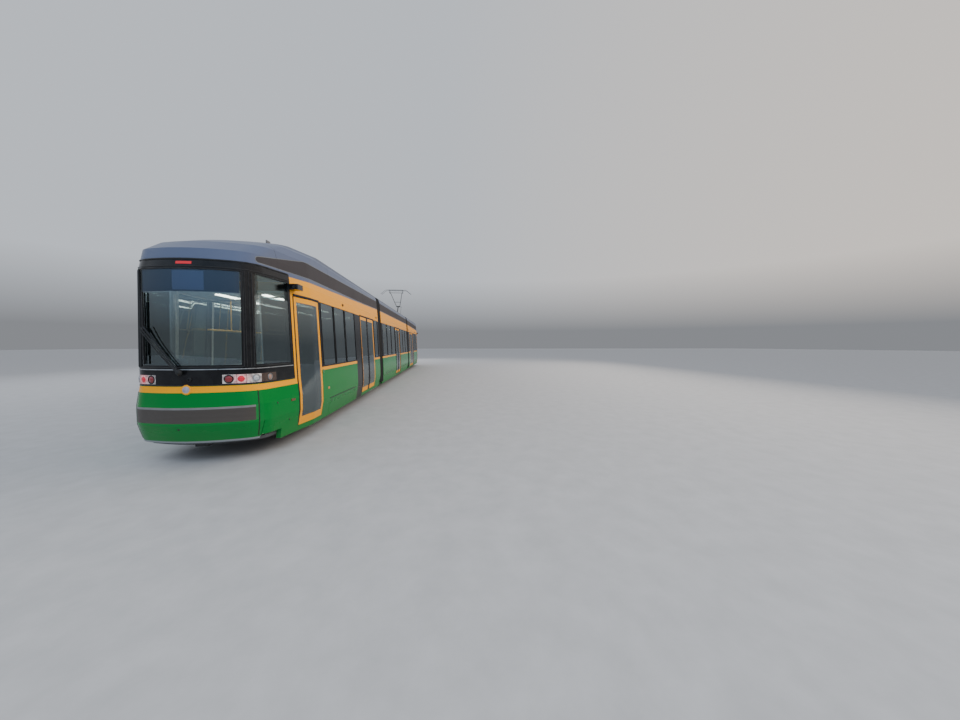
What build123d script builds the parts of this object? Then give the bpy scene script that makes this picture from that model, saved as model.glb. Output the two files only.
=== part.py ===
from build123d import *
import math
import os

os.makedirs("parts", exist_ok=True)

# Axes: +X to the leading end, +Y to the left, +Z up, millimetres.
# The flange tips stand on z = 0, and x = 0 is the middle of the middle section.

# Overall sizes
LENGTH = 27600.0            # over both ends
RAIL = 25.0                 # rail top, one flange height over the flange tips
HALF_END = LENGTH / 2
PIVOT_X = 4850.0            # articulation pivots
JOINT_GAP = 330.0           # from a pivot to the section end beside it
SEAM_X = HALF_END - 330.0   # lower seam between end cap and side panels
MASK_X = HALF_END - 1180.0  # upper seam between the black end frame and the side walls
TAPER_X = HALF_END - 1830.0  # where the straight side starts to taper towards the end

# Wall thicknesses
WALL = 70.0                 # side wall and end shells
ROOF_SKIN = 40.0
PORTAL_WALL = 60.0          # end frames at the articulations
FLOOR_PLATE = 60.0
BUMPER_THICK = 35.0
GLASS_INSET = 4.0           # glass lies this far inside the outer skin
GLASS_THICK = 24.0
DOOR_INSET = 3.0
DOOR_THICK = 42.0
DOOR_SEAT = 0.3             # leaf to its header and sill seals
PANEL_GAP = 6.0             # half the groove between two outer panels

# Heights over the rail
SKIRT_LOW = 225.0
NOTCH_LOW = 400.0           # skirt behind the end seam
NOSE_LOW = 345.0            # lower lip of the end
KINK = 630.0                # fold between skirts and side walls
BUMPER_LOW = 665.0
BUMPER_HIGH = 905.0
NOSE_HIGH = 1230.0          # top of the painted end shell, under the black frame
LAMP_LOW = 1256.0
LAMP_HIGH = 1393.0
GLASS_LOW = 1506.0          # end glass
GLASS_HIGH = 2995.0
WINDOW_LOW = 1400.0
WINDOW_HIGH = 2780.0
DOOR_LOW = 330.0
DOOR_HIGH = 2755.0
WALL_HIGH = 3000.0          # cantrail, where roof panels start
BRAKE_LAMP = 3075.0         # middle of the high brake lamp
MASK_HIGH = 3135.0
FLOOR = 360.0
FLOOR_OVER_BOGIE = 480.0
CEILING = 2810.0
WELL_FLOOR = 3060.0         # roof deck that carries the roof units
ROOF_TOP = 3820.0

# Outline of an end section at each height, all lengths inside the same plan:
# height, half width, half width at the end corner, set-back of the end face, corner radius
LEVELS = (
    (SKIRT_LOW, 1130.0, 930.0, 140.0, 400.0),
    (KINK, 1200.0, 955.0, 0.0, 450.0),
    (BUMPER_HIGH, 1200.0, 955.0, 0.0, 450.0),
    (NOSE_HIGH, 1190.0, 895.0, 20.0, 430.0),
    (WALL_HIGH, 1110.0, 860.0, 35.0, 420.0),
    (3310.0, 1088.0, 840.0, 115.0, 400.0),
    (3500.0, 1073.0, 840.0, 440.0, 380.0),
    (3655.0, 1053.0, 825.0, 900.0, 350.0),
    (3765.0, 1008.0, 790.0, 1320.0, 320.0),
    (ROOF_TOP, 915.0, 700.0, 1680.0, 300.0),
)
END_SWEEP = 280.0           # the end corners lie this far behind the middle of the end face
TAPER_LENGTH = 1000.0       # least length of the taper, where the roof's end slopes back
TAPER_RADIUS = 600.0
APEX_SHARE = 1.9            # radius of the end face over its half width

# Openings of an end section, from the end towards the articulation
# name, outer x, inner x of each door on the door side
SINGLE_DOOR = (HALF_END - 1250.0, HALF_END - 2250.0)
DOUBLE_DOOR = (8050.0, 6150.0)
END_DOORS = (("single", *SINGLE_DOOR), ("double", *DOUBLE_DOOR))
DOOR_POST = 120.0           # wall between a door and the window beside it
LEAF_PANEL = 650.0          # blind panel that the double door's leaf slides over
PORTAL_POST = 180.0         # wall between the last window and the articulation
# outer x, inner x of each window
END_WINDOWS_DOOR_SIDE = (
    (SINGLE_DOOR[1] - DOOR_POST, 10600.0),
    (10540.0, 9720.0),
    (9660.0, DOUBLE_DOOR[0] + LEAF_PANEL),
    (DOUBLE_DOOR[1] - DOOR_POST, PIVOT_X + JOINT_GAP + PORTAL_POST),
)
END_WINDOWS_BLIND_SIDE = (
    (MASK_X - 100.0, MASK_X - 1140.0),
    (MASK_X - 1200.0, 10000.0),
    (9940.0, 8560.0),
    (8500.0, 7000.0),
    (6940.0, PIVOT_X + JOINT_GAP + PORTAL_POST),
)
MIDDLE_DOOR_HALF = 800.0
MIDDLE_WINDOWS = (
    (PIVOT_X - JOINT_GAP - PORTAL_POST, 3300.0),
    (3240.0, 2150.0),
    (2090.0, MIDDLE_DOOR_HALF + DOOR_POST),
)
MIDDLE_WINDOW_BLIND = (MIDDLE_DOOR_HALF - 100.0, 100.0 - MIDDLE_DOOR_HALF)

# Bogies
BOGIE_END_X = 10050.0
BOGIE_MID_X = 2800.0
BOGIE_X = (-BOGIE_END_X, -BOGIE_MID_X, BOGIE_MID_X, BOGIE_END_X)
WHEEL_BASE = 1700.0
WHEEL_R = 305.0
FLANGE_R = WHEEL_R + RAIL
WHEEL_BACK = 465.0          # from the centre line to the back of a wheel
WHEEL_FRONT = 575.0
AXLE_R = 62.0
JOURNAL_R = 50.0
JOURNAL_GAP = 0.4
AXLE_Z = RAIL + WHEEL_R
BOGIE_FLOOR_GAP = 0.3       # slewing ring to the floor over it
RAISED_HALF = 1420.0        # half length of the raised floor over a bogie
RAMP = 150.0                # length of the ramp at each end of it
WHEEL_BOX_LENGTH = 1290.0   # half length of the hollow over a pair of wheels
WHEEL_BOX_IN = 250.0
WHEEL_BOX_OUT = 785.0
WHEEL_BOX_TOP = 700.0
WHEEL_BOX_WALL = 15.0

# Articulations
TURNTABLE_R = 560.0
TURNTABLE_GAP = 10.0
GANGWAY_HALF = 620.0
GANGWAY_HIGH = 2400.0
PIN_R = 45.0
PIN_GAP = 0.4

# Pantograph
PAN_X = 7600.0
PAN_Z = 3985.0
PAN_ARM = 1350.0
PAN_RISE = 43.5             # degrees of both arms over the level
PAN_HALF = 330.0            # half width between the lower pivots
PAN_FOOT_X = 600.0          # insulators from the lower pivot, along the roof
ROD_BASE_X = 180.0          # control rod's lower eye from the lower pivot, towards the knee
ROD_BASE_Z = 15.0
ROD_Y = -230.0
ROD_TAIL = 80.0             # control rod's upper eye from the knee
ROD_TAIL_ANGLE = 210.0
KNEE_Y = 110.0
HEAD_PIVOT_Y = 430.0
HEAD_RISE = 170.0           # strips over the head's pivot
HEAD_HALF = 1125.0          # half the length of the head over its horns
HORN_DROP = 300.0
STRIP_HALF = 560.0
STRIP_X = 190.0
FIT_GAP = 0.4               # running clearance round a small pin

NODES = {}


# Helpers
def block(x, y, z):
    """Box between two x, two y and two z values."""
    size = [abs(b - a) for a, b in (x, y, z)]
    middle = [(a + b) / 2 for a, b in (x, y, z)]
    return Pos(*middle) * Box(*size)


def cylinder(radius, height, centre, axis="z"):
    """Cylinder about its centre along one of the axes."""
    turn = {"z": Rot(0, 0, 0), "y": Rot(90, 0, 0), "x": Rot(0, 90, 0)}[axis]
    return Pos(*centre) * turn * Cylinder(radius, height)


def solids_of(shapes):
    """The separate solids of one shape or of a list of shapes."""
    if isinstance(shapes, (list, tuple)):
        return [solid for shape in shapes for solid in solids_of(shape)]
    return list(shapes.solids())


def keep(name, *shapes):
    """Adds solids to the named node."""
    NODES.setdefault(name, []).extend(solids_of(list(shapes)))


def mirrored(shapes):
    """The same solids on the other side of the middle of the tram."""
    return [solid.mirror(Plane.YZ) for solid in solids_of(shapes)]


def turned(shape, degrees, x, z):
    """A shape turned about an axis along Y, positive from +X up to +Z."""
    return Pos(x, 0, z) * Rot(0, -degrees, 0) * shape


# Outer form of the sections
def plan_outline(level, inset, joint_x):
    """Closed outline of an end section at one height, the end at -X."""
    height, half, nose, set_back, corner = level
    reach = HALF_END - set_back - inset
    half -= inset
    nose -= inset
    apex = APEX_SHARE * nose
    lean = math.atan2(END_SWEEP, nose)
    tip = reach + apex * (1 / math.cos(lean) - 1)
    corner_x = tip - END_SWEEP
    taper_x = min(TAPER_X, corner_x - TAPER_LENGTH)
    points = (
        (-joint_x, -half),
        (-taper_x, -half),
        (-corner_x, -nose),
        (-tip, 0),
        (-corner_x, nose),
        (-taper_x, half),
        (-joint_x, half),
    )
    bend = corner - inset
    curve = FilletPolyline(*points, radius=[TAPER_RADIUS, bend, apex, bend, TAPER_RADIUS])
    back = Line(points[-1], points[0])
    lift = height - (inset if height > WALL_HIGH else 0)
    return Pos(0, 0, RAIL + lift) * Wire(curve.edges() + back.edges())


def end_form(inset=0.0):
    """Solid of an end section's outer form, drawn in by an inset."""
    outlines = [plan_outline(level, inset, PIVOT_X + JOINT_GAP) for level in LEVELS]
    return Solid.make_loft(outlines, ruled=True)


def middle_form(inset=0.0):
    """Solid of the middle section's outer form, drawn in by an inset."""
    side = [
        (half - inset, RAIL + height - (inset if height > WALL_HIGH else 0))
        for height, half, nose, set_back, corner in LEVELS
    ]
    points = side + [(-y, z) for y, z in reversed(side)]
    face = Plane.YZ * make_face(Polyline(*points, close=True))
    length = PIVOT_X - JOINT_GAP
    return Pos(-length, 0, 0) * extrude(face, amount=2 * length)


WIDE = LENGTH
TALL = 2 * ROOF_TOP


def band(low, high):
    """Everything between two heights over the rail."""
    return block((-WIDE, WIDE), (-WIDE, WIDE), (RAIL + low, RAIL + high))


def side_block(x, side, low, high):
    """Everything on one side of the tram between two x and two heights over the rail."""
    return block(x, (0, side * WIDE), (RAIL + low, RAIL + high))


def shrink(x, margin):
    """Two x values moved towards each other."""
    low, high = min(x), max(x)
    return (low + margin, high - margin)


# Floors: stations along the section, x and floor height
def raised_stations(bogie_x):
    """Floor heights over one bogie, with a ramp at each end."""
    return (
        (bogie_x - RAISED_HALF - RAMP, FLOOR),
        (bogie_x - RAISED_HALF, FLOOR_OVER_BOGIE),
        (bogie_x + RAISED_HALF, FLOOR_OVER_BOGIE),
        (bogie_x + RAISED_HALF + RAMP, FLOOR),
    )


def wheel_boxes(bogie_x):
    """Covers over the wheels of one bogie, and the holes for them in the floor."""
    covers, holes = [], []
    x_in = (bogie_x - WHEEL_BOX_LENGTH, bogie_x + WHEEL_BOX_LENGTH)
    x_out = shrink(x_in, -WHEEL_BOX_WALL)
    floor_top = RAIL + FLOOR_OVER_BOGIE
    for side in (-1, 1):
        y_in = (side * WHEEL_BOX_IN, side * WHEEL_BOX_OUT)
        y_out = (side * (WHEEL_BOX_IN - WHEEL_BOX_WALL), side * (WHEEL_BOX_OUT + WHEEL_BOX_WALL))
        cover = block(x_out, y_out, (floor_top, RAIL + WHEEL_BOX_TOP + WHEEL_BOX_WALL))
        covers.append(cover - block(x_in, y_in, (floor_top - 1, RAIL + WHEEL_BOX_TOP)))
        holes.append(block(x_in, y_in, (floor_top - FLOOR_PLATE - 1, floor_top + 1)))
    return covers, holes


def floor_plate(ends, form, bogies):
    """Floor of constant thickness inside the walls, raised over its bogies."""
    stations = [(ends[0], FLOOR)]
    for bogie_x in bogies:
        stations.extend(raised_stations(bogie_x))
    stations.append((ends[1], FLOOR))
    top = [(x, RAIL + z) for x, z in stations]
    low = [(x, z - FLOOR_PLATE) for x, z in reversed(top)]
    face = Plane.XZ * make_face(Polyline(*top, *low, close=True))
    plate = (Pos(0, WIDE / 2, 0) * extrude(face, amount=WIDE)) & form
    for bogie_x in bogies:
        plate = cut(plate, wheel_boxes(bogie_x)[1])
    return plate


def cut(shape, tools):
    """Takes tools away from a shape one by one."""
    for tool in tools:
        shape = shape - tool
    return shape


# Shared pieces
def pane(outer, inner, x, side, low, high):
    """Glass between two drawn-in forms."""
    slab = side_block(x, side, low, high)
    return (outer & slab) - (inner & slab)


def door_leaves(x, count):
    """The x ranges of the leaves of one door."""
    low, high = shrink(x, PANEL_GAP)
    step = (high - low + 2 * PANEL_GAP) / count
    return [(low + i * step, low + (i + 1) * step - 2 * PANEL_GAP) for i in range(count)]


LEAF_FRAME = 95.0           # width of a leaf's frame round its glass
LEAF_SILL = 150.0


def make_doors(doors, forms):
    """Leaves and their glass for doors given by name and x range."""
    leaves, panes = [], []
    for name, first, last in doors:
        count = 1 if name == "single" else 2
        for leaf_x in door_leaves((-first, -last), count):
            low, high = DOOR_LOW + DOOR_SEAT, DOOR_HIGH - DOOR_SEAT
            slab = side_block(leaf_x, -1, low, high)
            leaf = (forms["door_outer"] & slab) - (forms["door_inner"] & slab)
            glass_x = shrink(leaf_x, LEAF_FRAME)
            glass_low, glass_high = low + LEAF_SILL, high - LEAF_FRAME
            leaf = leaf - side_block(glass_x, -1, glass_low, glass_high)
            leaves.append(leaf)
            panes.append(
                pane(forms["glass_outer"], forms["glass_inner"], glass_x, -1, glass_low, glass_high)
            )
    return leaves, panes


SEAT_WIDTH = 840.0          # of a pair
SEAT_Y = 650.0
SEAT_HALF_DEEP = 210.0
BACK_THICK = 60.0
CUSHION = (400.0, 470.0)    # heights over the floor
BACK_TOP = 1050.0
SEAT_LEG = (120.0, 60.0)
PLINTH_CUSHION = 130.0      # cushion height on a wheel cover
PLINTH_BACK = 700.0
PLINTH_SEAT_Y = (WHEEL_BOX_IN + 20.0, 1050.0)
POLE_R = 17.0
POLE_Y = 560.0
CEILING_THICK = 30.0


def seat_back_x(x, facing):
    """The x range of a seat's back behind its cushion."""
    front = x - facing * SEAT_HALF_DEEP
    return sorted((front, front - facing * BACK_THICK))


def seat_pair(x, y, facing, floor_z, width):
    """Seats side by side on one pedestal, facing +X or -X."""
    across = (y - width / 2, y + width / 2)
    low, high = floor_z + CUSHION[0], floor_z + CUSHION[1]
    cushion = block((x - SEAT_HALF_DEEP, x + SEAT_HALF_DEEP), across, (low, high))
    back = block(seat_back_x(x, facing), across, (low, floor_z + BACK_TOP))
    leg = block((x - SEAT_LEG[0], x + SEAT_LEG[0]), (y - SEAT_LEG[1], y + SEAT_LEG[1]), (floor_z, low))
    return cushion + back + leg


def plinth_pair(x, side, facing):
    """Seats side by side that stand on the cover over a bogie's wheels."""
    top = RAIL + WHEEL_BOX_TOP + WHEEL_BOX_WALL
    across = [side * y for y in PLINTH_SEAT_Y]
    cushion = block((x - SEAT_HALF_DEEP, x + SEAT_HALF_DEEP), across, (top, top + PLINTH_CUSHION))
    return cushion + block(seat_back_x(x, facing), across, (top, top + PLINTH_BACK))


def ceiling(form, x, poles):
    """Ceiling panel between the walls with the grab poles that stand under it."""
    panel = form & block(x, (-WIDE, WIDE), (RAIL + CEILING, RAIL + CEILING + CEILING_THICK))
    for pole_x, pole_y, base in poles:
        low = RAIL + base
        high = RAIL + CEILING
        panel = panel + cylinder(POLE_R, high - low + 1, (pole_x, pole_y, (low + high + 1) / 2))
    return panel


# End section, drawn as the trailing one with its end at -X
END_JOINT_X = PIVOT_X + JOINT_GAP
BOGIE_COVER = 1060.0        # half length of the skirt panel over a bogie

end_forms = {
    "outer": end_form(),
    "wall": end_form(WALL),
    "roof": end_form(ROOF_SKIN),
    "bumper": end_form(BUMPER_THICK),
    "glass_outer": end_form(GLASS_INSET),
    "glass_inner": end_form(GLASS_INSET + GLASS_THICK),
    "door_outer": end_form(DOOR_INSET),
    "door_inner": end_form(DOOR_INSET + DOOR_THICK),
}
end_shell = end_forms["outer"] - end_forms["wall"]


def door_cuts(doors):
    """Portals of the doors through the walls."""
    return [side_block((-first, -last), -1, DOOR_LOW, DOOR_HIGH) for name, first, last in doors]


def window_cuts(windows, side):
    """Openings of the side windows."""
    return [side_block((-a, -b), side, WINDOW_LOW, WINDOW_HIGH) for a, b in windows]


def portal(form, joint_x, inward):
    """Welded end frame of a section at an articulation, with its gangway."""
    plate_x = (joint_x, joint_x + inward * PORTAL_WALL)
    plate = form & block(plate_x, (-WIDE, WIDE), (RAIL + KINK, RAIL + WALL_HIGH))
    return plate - block((joint_x - 500, joint_x + 500), (-GANGWAY_HALF, GANGWAY_HALF),
                         (0, RAIL + GANGWAY_HIGH))


end_walls = end_shell & block((-SEAM_X, -END_JOINT_X), (-WIDE, WIDE), (RAIL + KINK, RAIL + WALL_HIGH))
end_walls = end_walls - block((-WIDE, -MASK_X), (-WIDE, WIDE), (RAIL + NOSE_HIGH, TALL))
end_walls = cut(end_walls, door_cuts(END_DOORS))
end_walls = cut(end_walls, window_cuts(END_WINDOWS_DOOR_SIDE, -1))
end_walls = cut(end_walls, window_cuts(END_WINDOWS_BLIND_SIDE, 1))
end_body = end_walls + portal(end_forms["wall"], -END_JOINT_X, -1)

end_skirts = []
skirt_breaks = (SEAM_X - PANEL_GAP, BOGIE_END_X + BOGIE_COVER, BOGIE_END_X - BOGIE_COVER, END_JOINT_X)
NOTCH_LENGTH = 420.0
notch = block((-SEAM_X, -SEAM_X + NOTCH_LENGTH), (-WIDE, WIDE), (0, RAIL + NOTCH_LOW))
for first, last in zip(skirt_breaks, skirt_breaks[1:]):
    for side in (-1, 1):
        strip = side_block(shrink((-first, -last), PANEL_GAP), side, SKIRT_LOW, KINK)
        panel = (end_shell & strip) - notch
        if side < 0:
            panel = cut(panel, door_cuts(END_DOORS))
        end_skirts.append(panel)

end_nose = end_shell & block((-WIDE, -SEAM_X), (-WIDE, WIDE), (RAIL + NOSE_LOW, RAIL + NOSE_HIGH))
BUMPER_X = SEAM_X + 60.0    # the bumper stops this side of the seam
bumper_zone = block((-WIDE, -BUMPER_X), (-WIDE, WIDE), (RAIL + BUMPER_LOW, RAIL + BUMPER_HIGH))
bumper_skin = (end_forms["outer"] & bumper_zone) - (end_forms["bumper"] & bumper_zone)
end_nose = end_nose - bumper_skin

end_mask = end_shell & block((-WIDE, -MASK_X), (-WIDE, WIDE), (RAIL + NOSE_HIGH, RAIL + MASK_HIGH))
SCREEN_HALF = 745.0
PILLAR_X = HALF_END - 300.0  # rear edge of the end pillar
QUARTER_X = MASK_X + 60.0   # rear edge of the glass beside the pillar
screen_cut = block((-WIDE, -PILLAR_X), (-SCREEN_HALF, SCREEN_HALF), (RAIL + GLASS_LOW, RAIL + GLASS_HIGH))
quarter_cuts = [side_block((-PILLAR_X, -QUARTER_X), side, GLASS_LOW, GLASS_HIGH) for side in (-1, 1)]
end_mask = cut(end_mask, [screen_cut] + quarter_cuts)

glass_shell = end_forms["glass_outer"] - end_forms["glass_inner"]
end_glass = [glass_shell & screen_cut] + [glass_shell & tool for tool in quarter_cuts]

side_glass = [
    glass_shell & tool
    for tool in window_cuts(END_WINDOWS_DOOR_SIDE, -1) + window_cuts(END_WINDOWS_BLIND_SIDE, 1)
]
end_leaves, end_panes = make_doors(END_DOORS, end_forms)
side_glass += end_panes

# Roof of an end section: fairings, end dome, deck, and an open well for the units
WELL_HALF = 800.0
WELL_X = HALF_END - 2200.0
END_WELL = (-WELL_X, -END_JOINT_X - ROOF_SKIN)
roof_zone = block((-WIDE, WIDE), (-WIDE, WIDE), (RAIL + WALL_HIGH, TALL))
roof_zone = roof_zone - block((-WIDE, -MASK_X), (-WIDE, WIDE), (0, RAIL + MASK_HIGH))
end_roof = (end_forms["outer"] - end_forms["roof"]) & roof_zone
deck_zone = block((-MASK_X, -END_JOINT_X), (-WIDE, WIDE), (RAIL + WALL_HIGH, RAIL + WELL_FLOOR))
end_plate_zone = block((-END_JOINT_X - ROOF_SKIN, -END_JOINT_X), (-WIDE, WIDE), (RAIL + WALL_HIGH, TALL))
end_roof = end_roof + (end_forms["roof"] & deck_zone) + (end_forms["roof"] & end_plate_zone)
end_roof = end_roof - block(END_WELL, (-WELL_HALF, WELL_HALF), (RAIL + WELL_FLOOR, TALL))

# Roof units: x range from the end inwards, half width, height over the deck
FIRST_UNIT = (-WELL_X + 200.0, -9500.0)
LAST_UNIT_X = -END_JOINT_X - 320.0
UNIT_FOOT = 60.0            # rails under each unit
UNIT_BEVEL = 60.0
RAIL_SHARE = 0.7            # rails under the units, as a share of the unit's half width
RAIL_HALF = 40.0
END_UNITS = (
    (FIRST_UNIT, 720.0, 640.0),
    ((-9300.0, -7900.0), 700.0, 560.0),
    ((-7700.0, LAST_UNIT_X), 720.0, 660.0),
)
PAN_ROOM = 850.0            # roof left free for the pantograph's base, each side of its pivot
PAN_END_UNITS = (
    (FIRST_UNIT, 720.0, 640.0),
    ((-9300.0, -PAN_X - PAN_ROOM), 700.0, 560.0),
    ((-PAN_X + PAN_ROOM, LAST_UNIT_X), 720.0, 660.0),
)
MIDDLE_UNITS = (
    ((-4300.0, -2300.0), 720.0, 640.0),
    ((-2100.0, -500.0), 700.0, 560.0),
    ((-300.0, 1900.0), 720.0, 660.0),
    ((2100.0, 4300.0), 720.0, 640.0),
)


def roof_units(units):
    """Closed roof boxes with a bevelled upper edge, on two rails each."""
    made = []
    base = RAIL + WELL_FLOOR
    for x, half, height in units:
        box = block(x, (-half, half), (base + UNIT_FOOT, base + height))
        box = chamfer(box.edges().filter_by(Axis.X).sort_by(Axis.Z)[-2:], UNIT_BEVEL)
        for side in (-1, 1):
            rail_y = side * half * RAIL_SHARE
            box = box + block(x, (rail_y - RAIL_HALF, rail_y + RAIL_HALF), (base, base + UNIT_FOOT))
        made.append(box)
    return made


# End fittings: lamps in the black band, side cameras, high brake lamp
LENS_THICK = 30.0
LAMP_CORNER_X = HALF_END - 400.0
LAMP_REAR_X = HALF_END - 680.0
# x range and half widths between which a lamp lies, from the middle round to the side
LAMPS = (
    ((-WIDE, -SEAM_X), (470.0, 645.0)),
    ((-WIDE, -SEAM_X), (650.0, 760.0)),
    ((-WIDE, -LAMP_CORNER_X), (765.0, WIDE)),
    ((-LAMP_CORNER_X + 5.0, -LAMP_REAR_X), (0.0, WIDE)),
)
lamp_shell = end_forms["outer"] - end_form(LENS_THICK)
fittings = []
for lamp_x, (y_in, y_out) in LAMPS:
    for side in (-1, 1):
        zone = block(lamp_x, (side * y_in, side * y_out), (RAIL + LAMP_LOW, RAIL + LAMP_HIGH))
        fittings.append(lamp_shell & zone)
BRAKE_HALF = 110.0
brake_z = (RAIL + BRAKE_LAMP - 20, RAIL + BRAKE_LAMP + 20)
brake_zone = block((-WIDE, -SEAM_X), (-BRAKE_HALF, BRAKE_HALF), brake_z)
fittings.append(lamp_shell & brake_zone)
end_mask = cut(end_mask, fittings)
CAMERA_X = MASK_X - 30.0
CAMERA_HALF = 110.0
CAMERA_OUT = 1190.0
CAMERA_Z = (2860.0, 2960.0)
for side in (-1, 1):
    pod = block(
        (-CAMERA_X - CAMERA_HALF, -CAMERA_X + CAMERA_HALF),
        (side * 1000, side * CAMERA_OUT),
        [RAIL + z for z in CAMERA_Z],
    )
    fittings.append(pod - end_forms["outer"])

# Wiper: pivot, arm and a blade standing upright on the glass
WIPER_PIVOT = (60.0, 1440.0)    # y, height over the rail
WIPER_TIP = (630.0, 2120.0)     # where the arm meets the blade
BLADE = (1560.0, 2640.0)
WIPER_PROUD = 40.0
WIPER_HUB_R = 28.0
ARM_R = 13.0
BLADE_R = 12.0


def end_face_x(y, height):
    """x of the end face at a half width and a height over the rail."""
    for low, high in zip(LEVELS, LEVELS[1:]):
        if low[0] <= height <= high[0]:
            share = (height - low[0]) / (high[0] - low[0])
            set_back = low[3] + share * (high[3] - low[3])
            nose = low[2] + share * (high[2] - low[2])
            apex = APEX_SHARE * nose
            return -(HALF_END - set_back) + apex - math.sqrt(apex * apex - y * y)
    return -HALF_END


def bar_between(a, b, radius):
    """Round bar from one point to another."""
    path = Line(a, b)
    plane = Plane(origin=a, z_dir=Vector(*b) - Vector(*a))
    return extrude(plane * Circle(radius), amount=path.length)


def on_face(y, height):
    """Point that stands a little off the end face."""
    return (end_face_x(y, height) - WIPER_PROUD, y, RAIL + height)


pivot = on_face(*WIPER_PIVOT)
wiper = bar_between(pivot, on_face(*WIPER_TIP), ARM_R)
wiper = wiper + bar_between(on_face(WIPER_TIP[0], BLADE[0]), on_face(WIPER_TIP[0], BLADE[1]), BLADE_R)
hub = cylinder(WIPER_HUB_R, 2 * WIPER_PROUD, (pivot[0] + WIPER_HUB_R, pivot[1], pivot[2]), "x")
wiper = wiper + (hub - end_forms["outer"])
fittings.append(wiper)

# Towing bracket under each end, jacking pads under the low floor
TOW_X = HALF_END - 420.0
TOW_REACH = 120.0
TOW_HALF = 75.0
TOW_WEB = 20.0
TOW_BORE_R = 25.0
TOW_Z = (RAIL + 235.0, RAIL + 275.0)
JACK_END_X = 6000.0
JACK_MID_X = 900.0
JACK_Y = 850.0
JACK_HALF = (120.0, 80.0)
JACK_DEEP = 20.0
FLOOR_LOW = RAIL + FLOOR - FLOOR_PLATE


def jack_pad(x, side):
    """Flat steel pad welded under the floor for a workshop jack."""
    half_x, half_y = JACK_HALF
    y = side * JACK_Y
    return block((x - half_x, x + half_x), (y - half_y, y + half_y), (FLOOR_LOW - JACK_DEEP, FLOOR_LOW))


# Floor with the tongue that carries the section on its pivot
TONGUE_HALF = 150.0
TONGUE_REACH = 860.0
TONGUE_STEP = 620.0         # the tongue's riser starts clear of the turntable
TONGUE_Z = (RAIL + 215.0, RAIL + 275.0)
PIN_TOP = RAIL + FLOOR - 12.0
end_floor = floor_plate((-HALF_END, -END_JOINT_X), end_forms["wall"], (-BOGIE_END_X,))
end_floor = end_floor - cylinder(TURNTABLE_R + TURNTABLE_GAP, TALL, (-PIVOT_X, 0, 0))
tongue = block((-PIVOT_X - TONGUE_REACH, -PIVOT_X), (-TONGUE_HALF, TONGUE_HALF), TONGUE_Z)
tongue = tongue + cylinder(TONGUE_HALF, TONGUE_Z[1] - TONGUE_Z[0], (-PIVOT_X, 0, sum(TONGUE_Z) / 2))
riser_x = (-PIVOT_X - TONGUE_REACH, -PIVOT_X - TONGUE_STEP)
riser = block(riser_x, (-TONGUE_HALF, TONGUE_HALF), (TONGUE_Z[0], FLOOR_LOW))
pin = cylinder(PIN_R, PIN_TOP - TONGUE_Z[0], (-PIVOT_X, 0, (PIN_TOP + TONGUE_Z[0]) / 2))
end_floor = end_floor + tongue + riser + pin
tow_x = (-TOW_X - TOW_REACH, -TOW_X + TOW_REACH)
tow_plate = block(tow_x, (-TOW_HALF, TOW_HALF), TOW_Z)
end_floor = end_floor + (tow_plate - cylinder(TOW_BORE_R, TALL, (-TOW_X, 0, 0)))
for side in (-1, 1):
    web = block(tow_x, (side * TOW_HALF, side * (TOW_HALF + TOW_WEB)), (TOW_Z[0], FLOOR_LOW))
    end_floor = end_floor + web + jack_pad(-JACK_END_X, side)

# Seats: x, side, facing; those on wheel covers and those on the floor
OVER_BOGIE = 950.0          # seats on the covers, from the bogie's middle
END_PLINTH_SEATS = [
    (-BOGIE_END_X - facing * OVER_BOGIE, side, facing) for side in (-1, 1) for facing in (-1, 1)
]
END_FLOOR_SEATS = ((-6300.0, 1, 1), (-5700.0, 1, 1), (-5750.0, -1, 1))


def place_seats(plinth_rows, floor_rows):
    """All seat pairs of a section."""
    seats = [plinth_pair(x, side, facing) for x, side, facing in plinth_rows]
    for x, side, facing in floor_rows:
        seats.append(seat_pair(x, side * SEAT_Y, facing, RAIL + FLOOR, SEAT_WIDTH))
    return seats


# Grab poles: x, y, height of their foot
END_POLES = (
    (-SINGLE_DOOR[1] - 130.0, -POLE_Y, FLOOR),
    (-DOUBLE_DOOR[0] - 60.0, -POLE_Y, FLOOR),
    (-sum(DOUBLE_DOOR) / 2, POLE_Y, FLOOR),
    (-DOUBLE_DOOR[1] + 60.0, -POLE_Y, FLOOR),
)
end_interior = place_seats(END_PLINTH_SEATS, END_FLOOR_SEATS)
end_ceiling = ceiling(end_forms["wall"], (-MASK_X, -END_JOINT_X - PORTAL_WALL), END_POLES)

for prefix, place, units in (("rear", solids_of, END_UNITS), ("front", mirrored, PAN_END_UNITS)):
    keep(prefix + "_car_body", place(end_body))
    keep(prefix + "_skirts", place(end_skirts))
    keep(prefix + "_nose_shell", place(end_nose))
    keep(prefix + "_bumper", place(bumper_skin))
    keep(prefix + "_window_frame", place(end_mask))
    keep(prefix + "_end_glass", place(end_glass))
    keep(prefix + "_side_glass", place(side_glass))
    keep(prefix + "_doors", place(end_leaves))
    keep(prefix + "_roof", place(end_roof))
    keep(prefix + "_roof_units", place(roof_units(units)))
    keep(prefix + "_lamps_and_wiper", place(fittings))
    keep(prefix + "_floor", place(end_floor))
    keep(prefix + "_wheel_covers", place(wheel_boxes(-BOGIE_END_X)[0]))
    keep(prefix + "_seats", place(end_interior))
    keep(prefix + "_ceiling_and_poles", place(end_ceiling))

# Bench across the trailing end, behind the last door
keep("rear_seats", seat_pair(-HALF_END + 850.0, 0.0, 1, RAIL + FLOOR, 1500.0))

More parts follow.
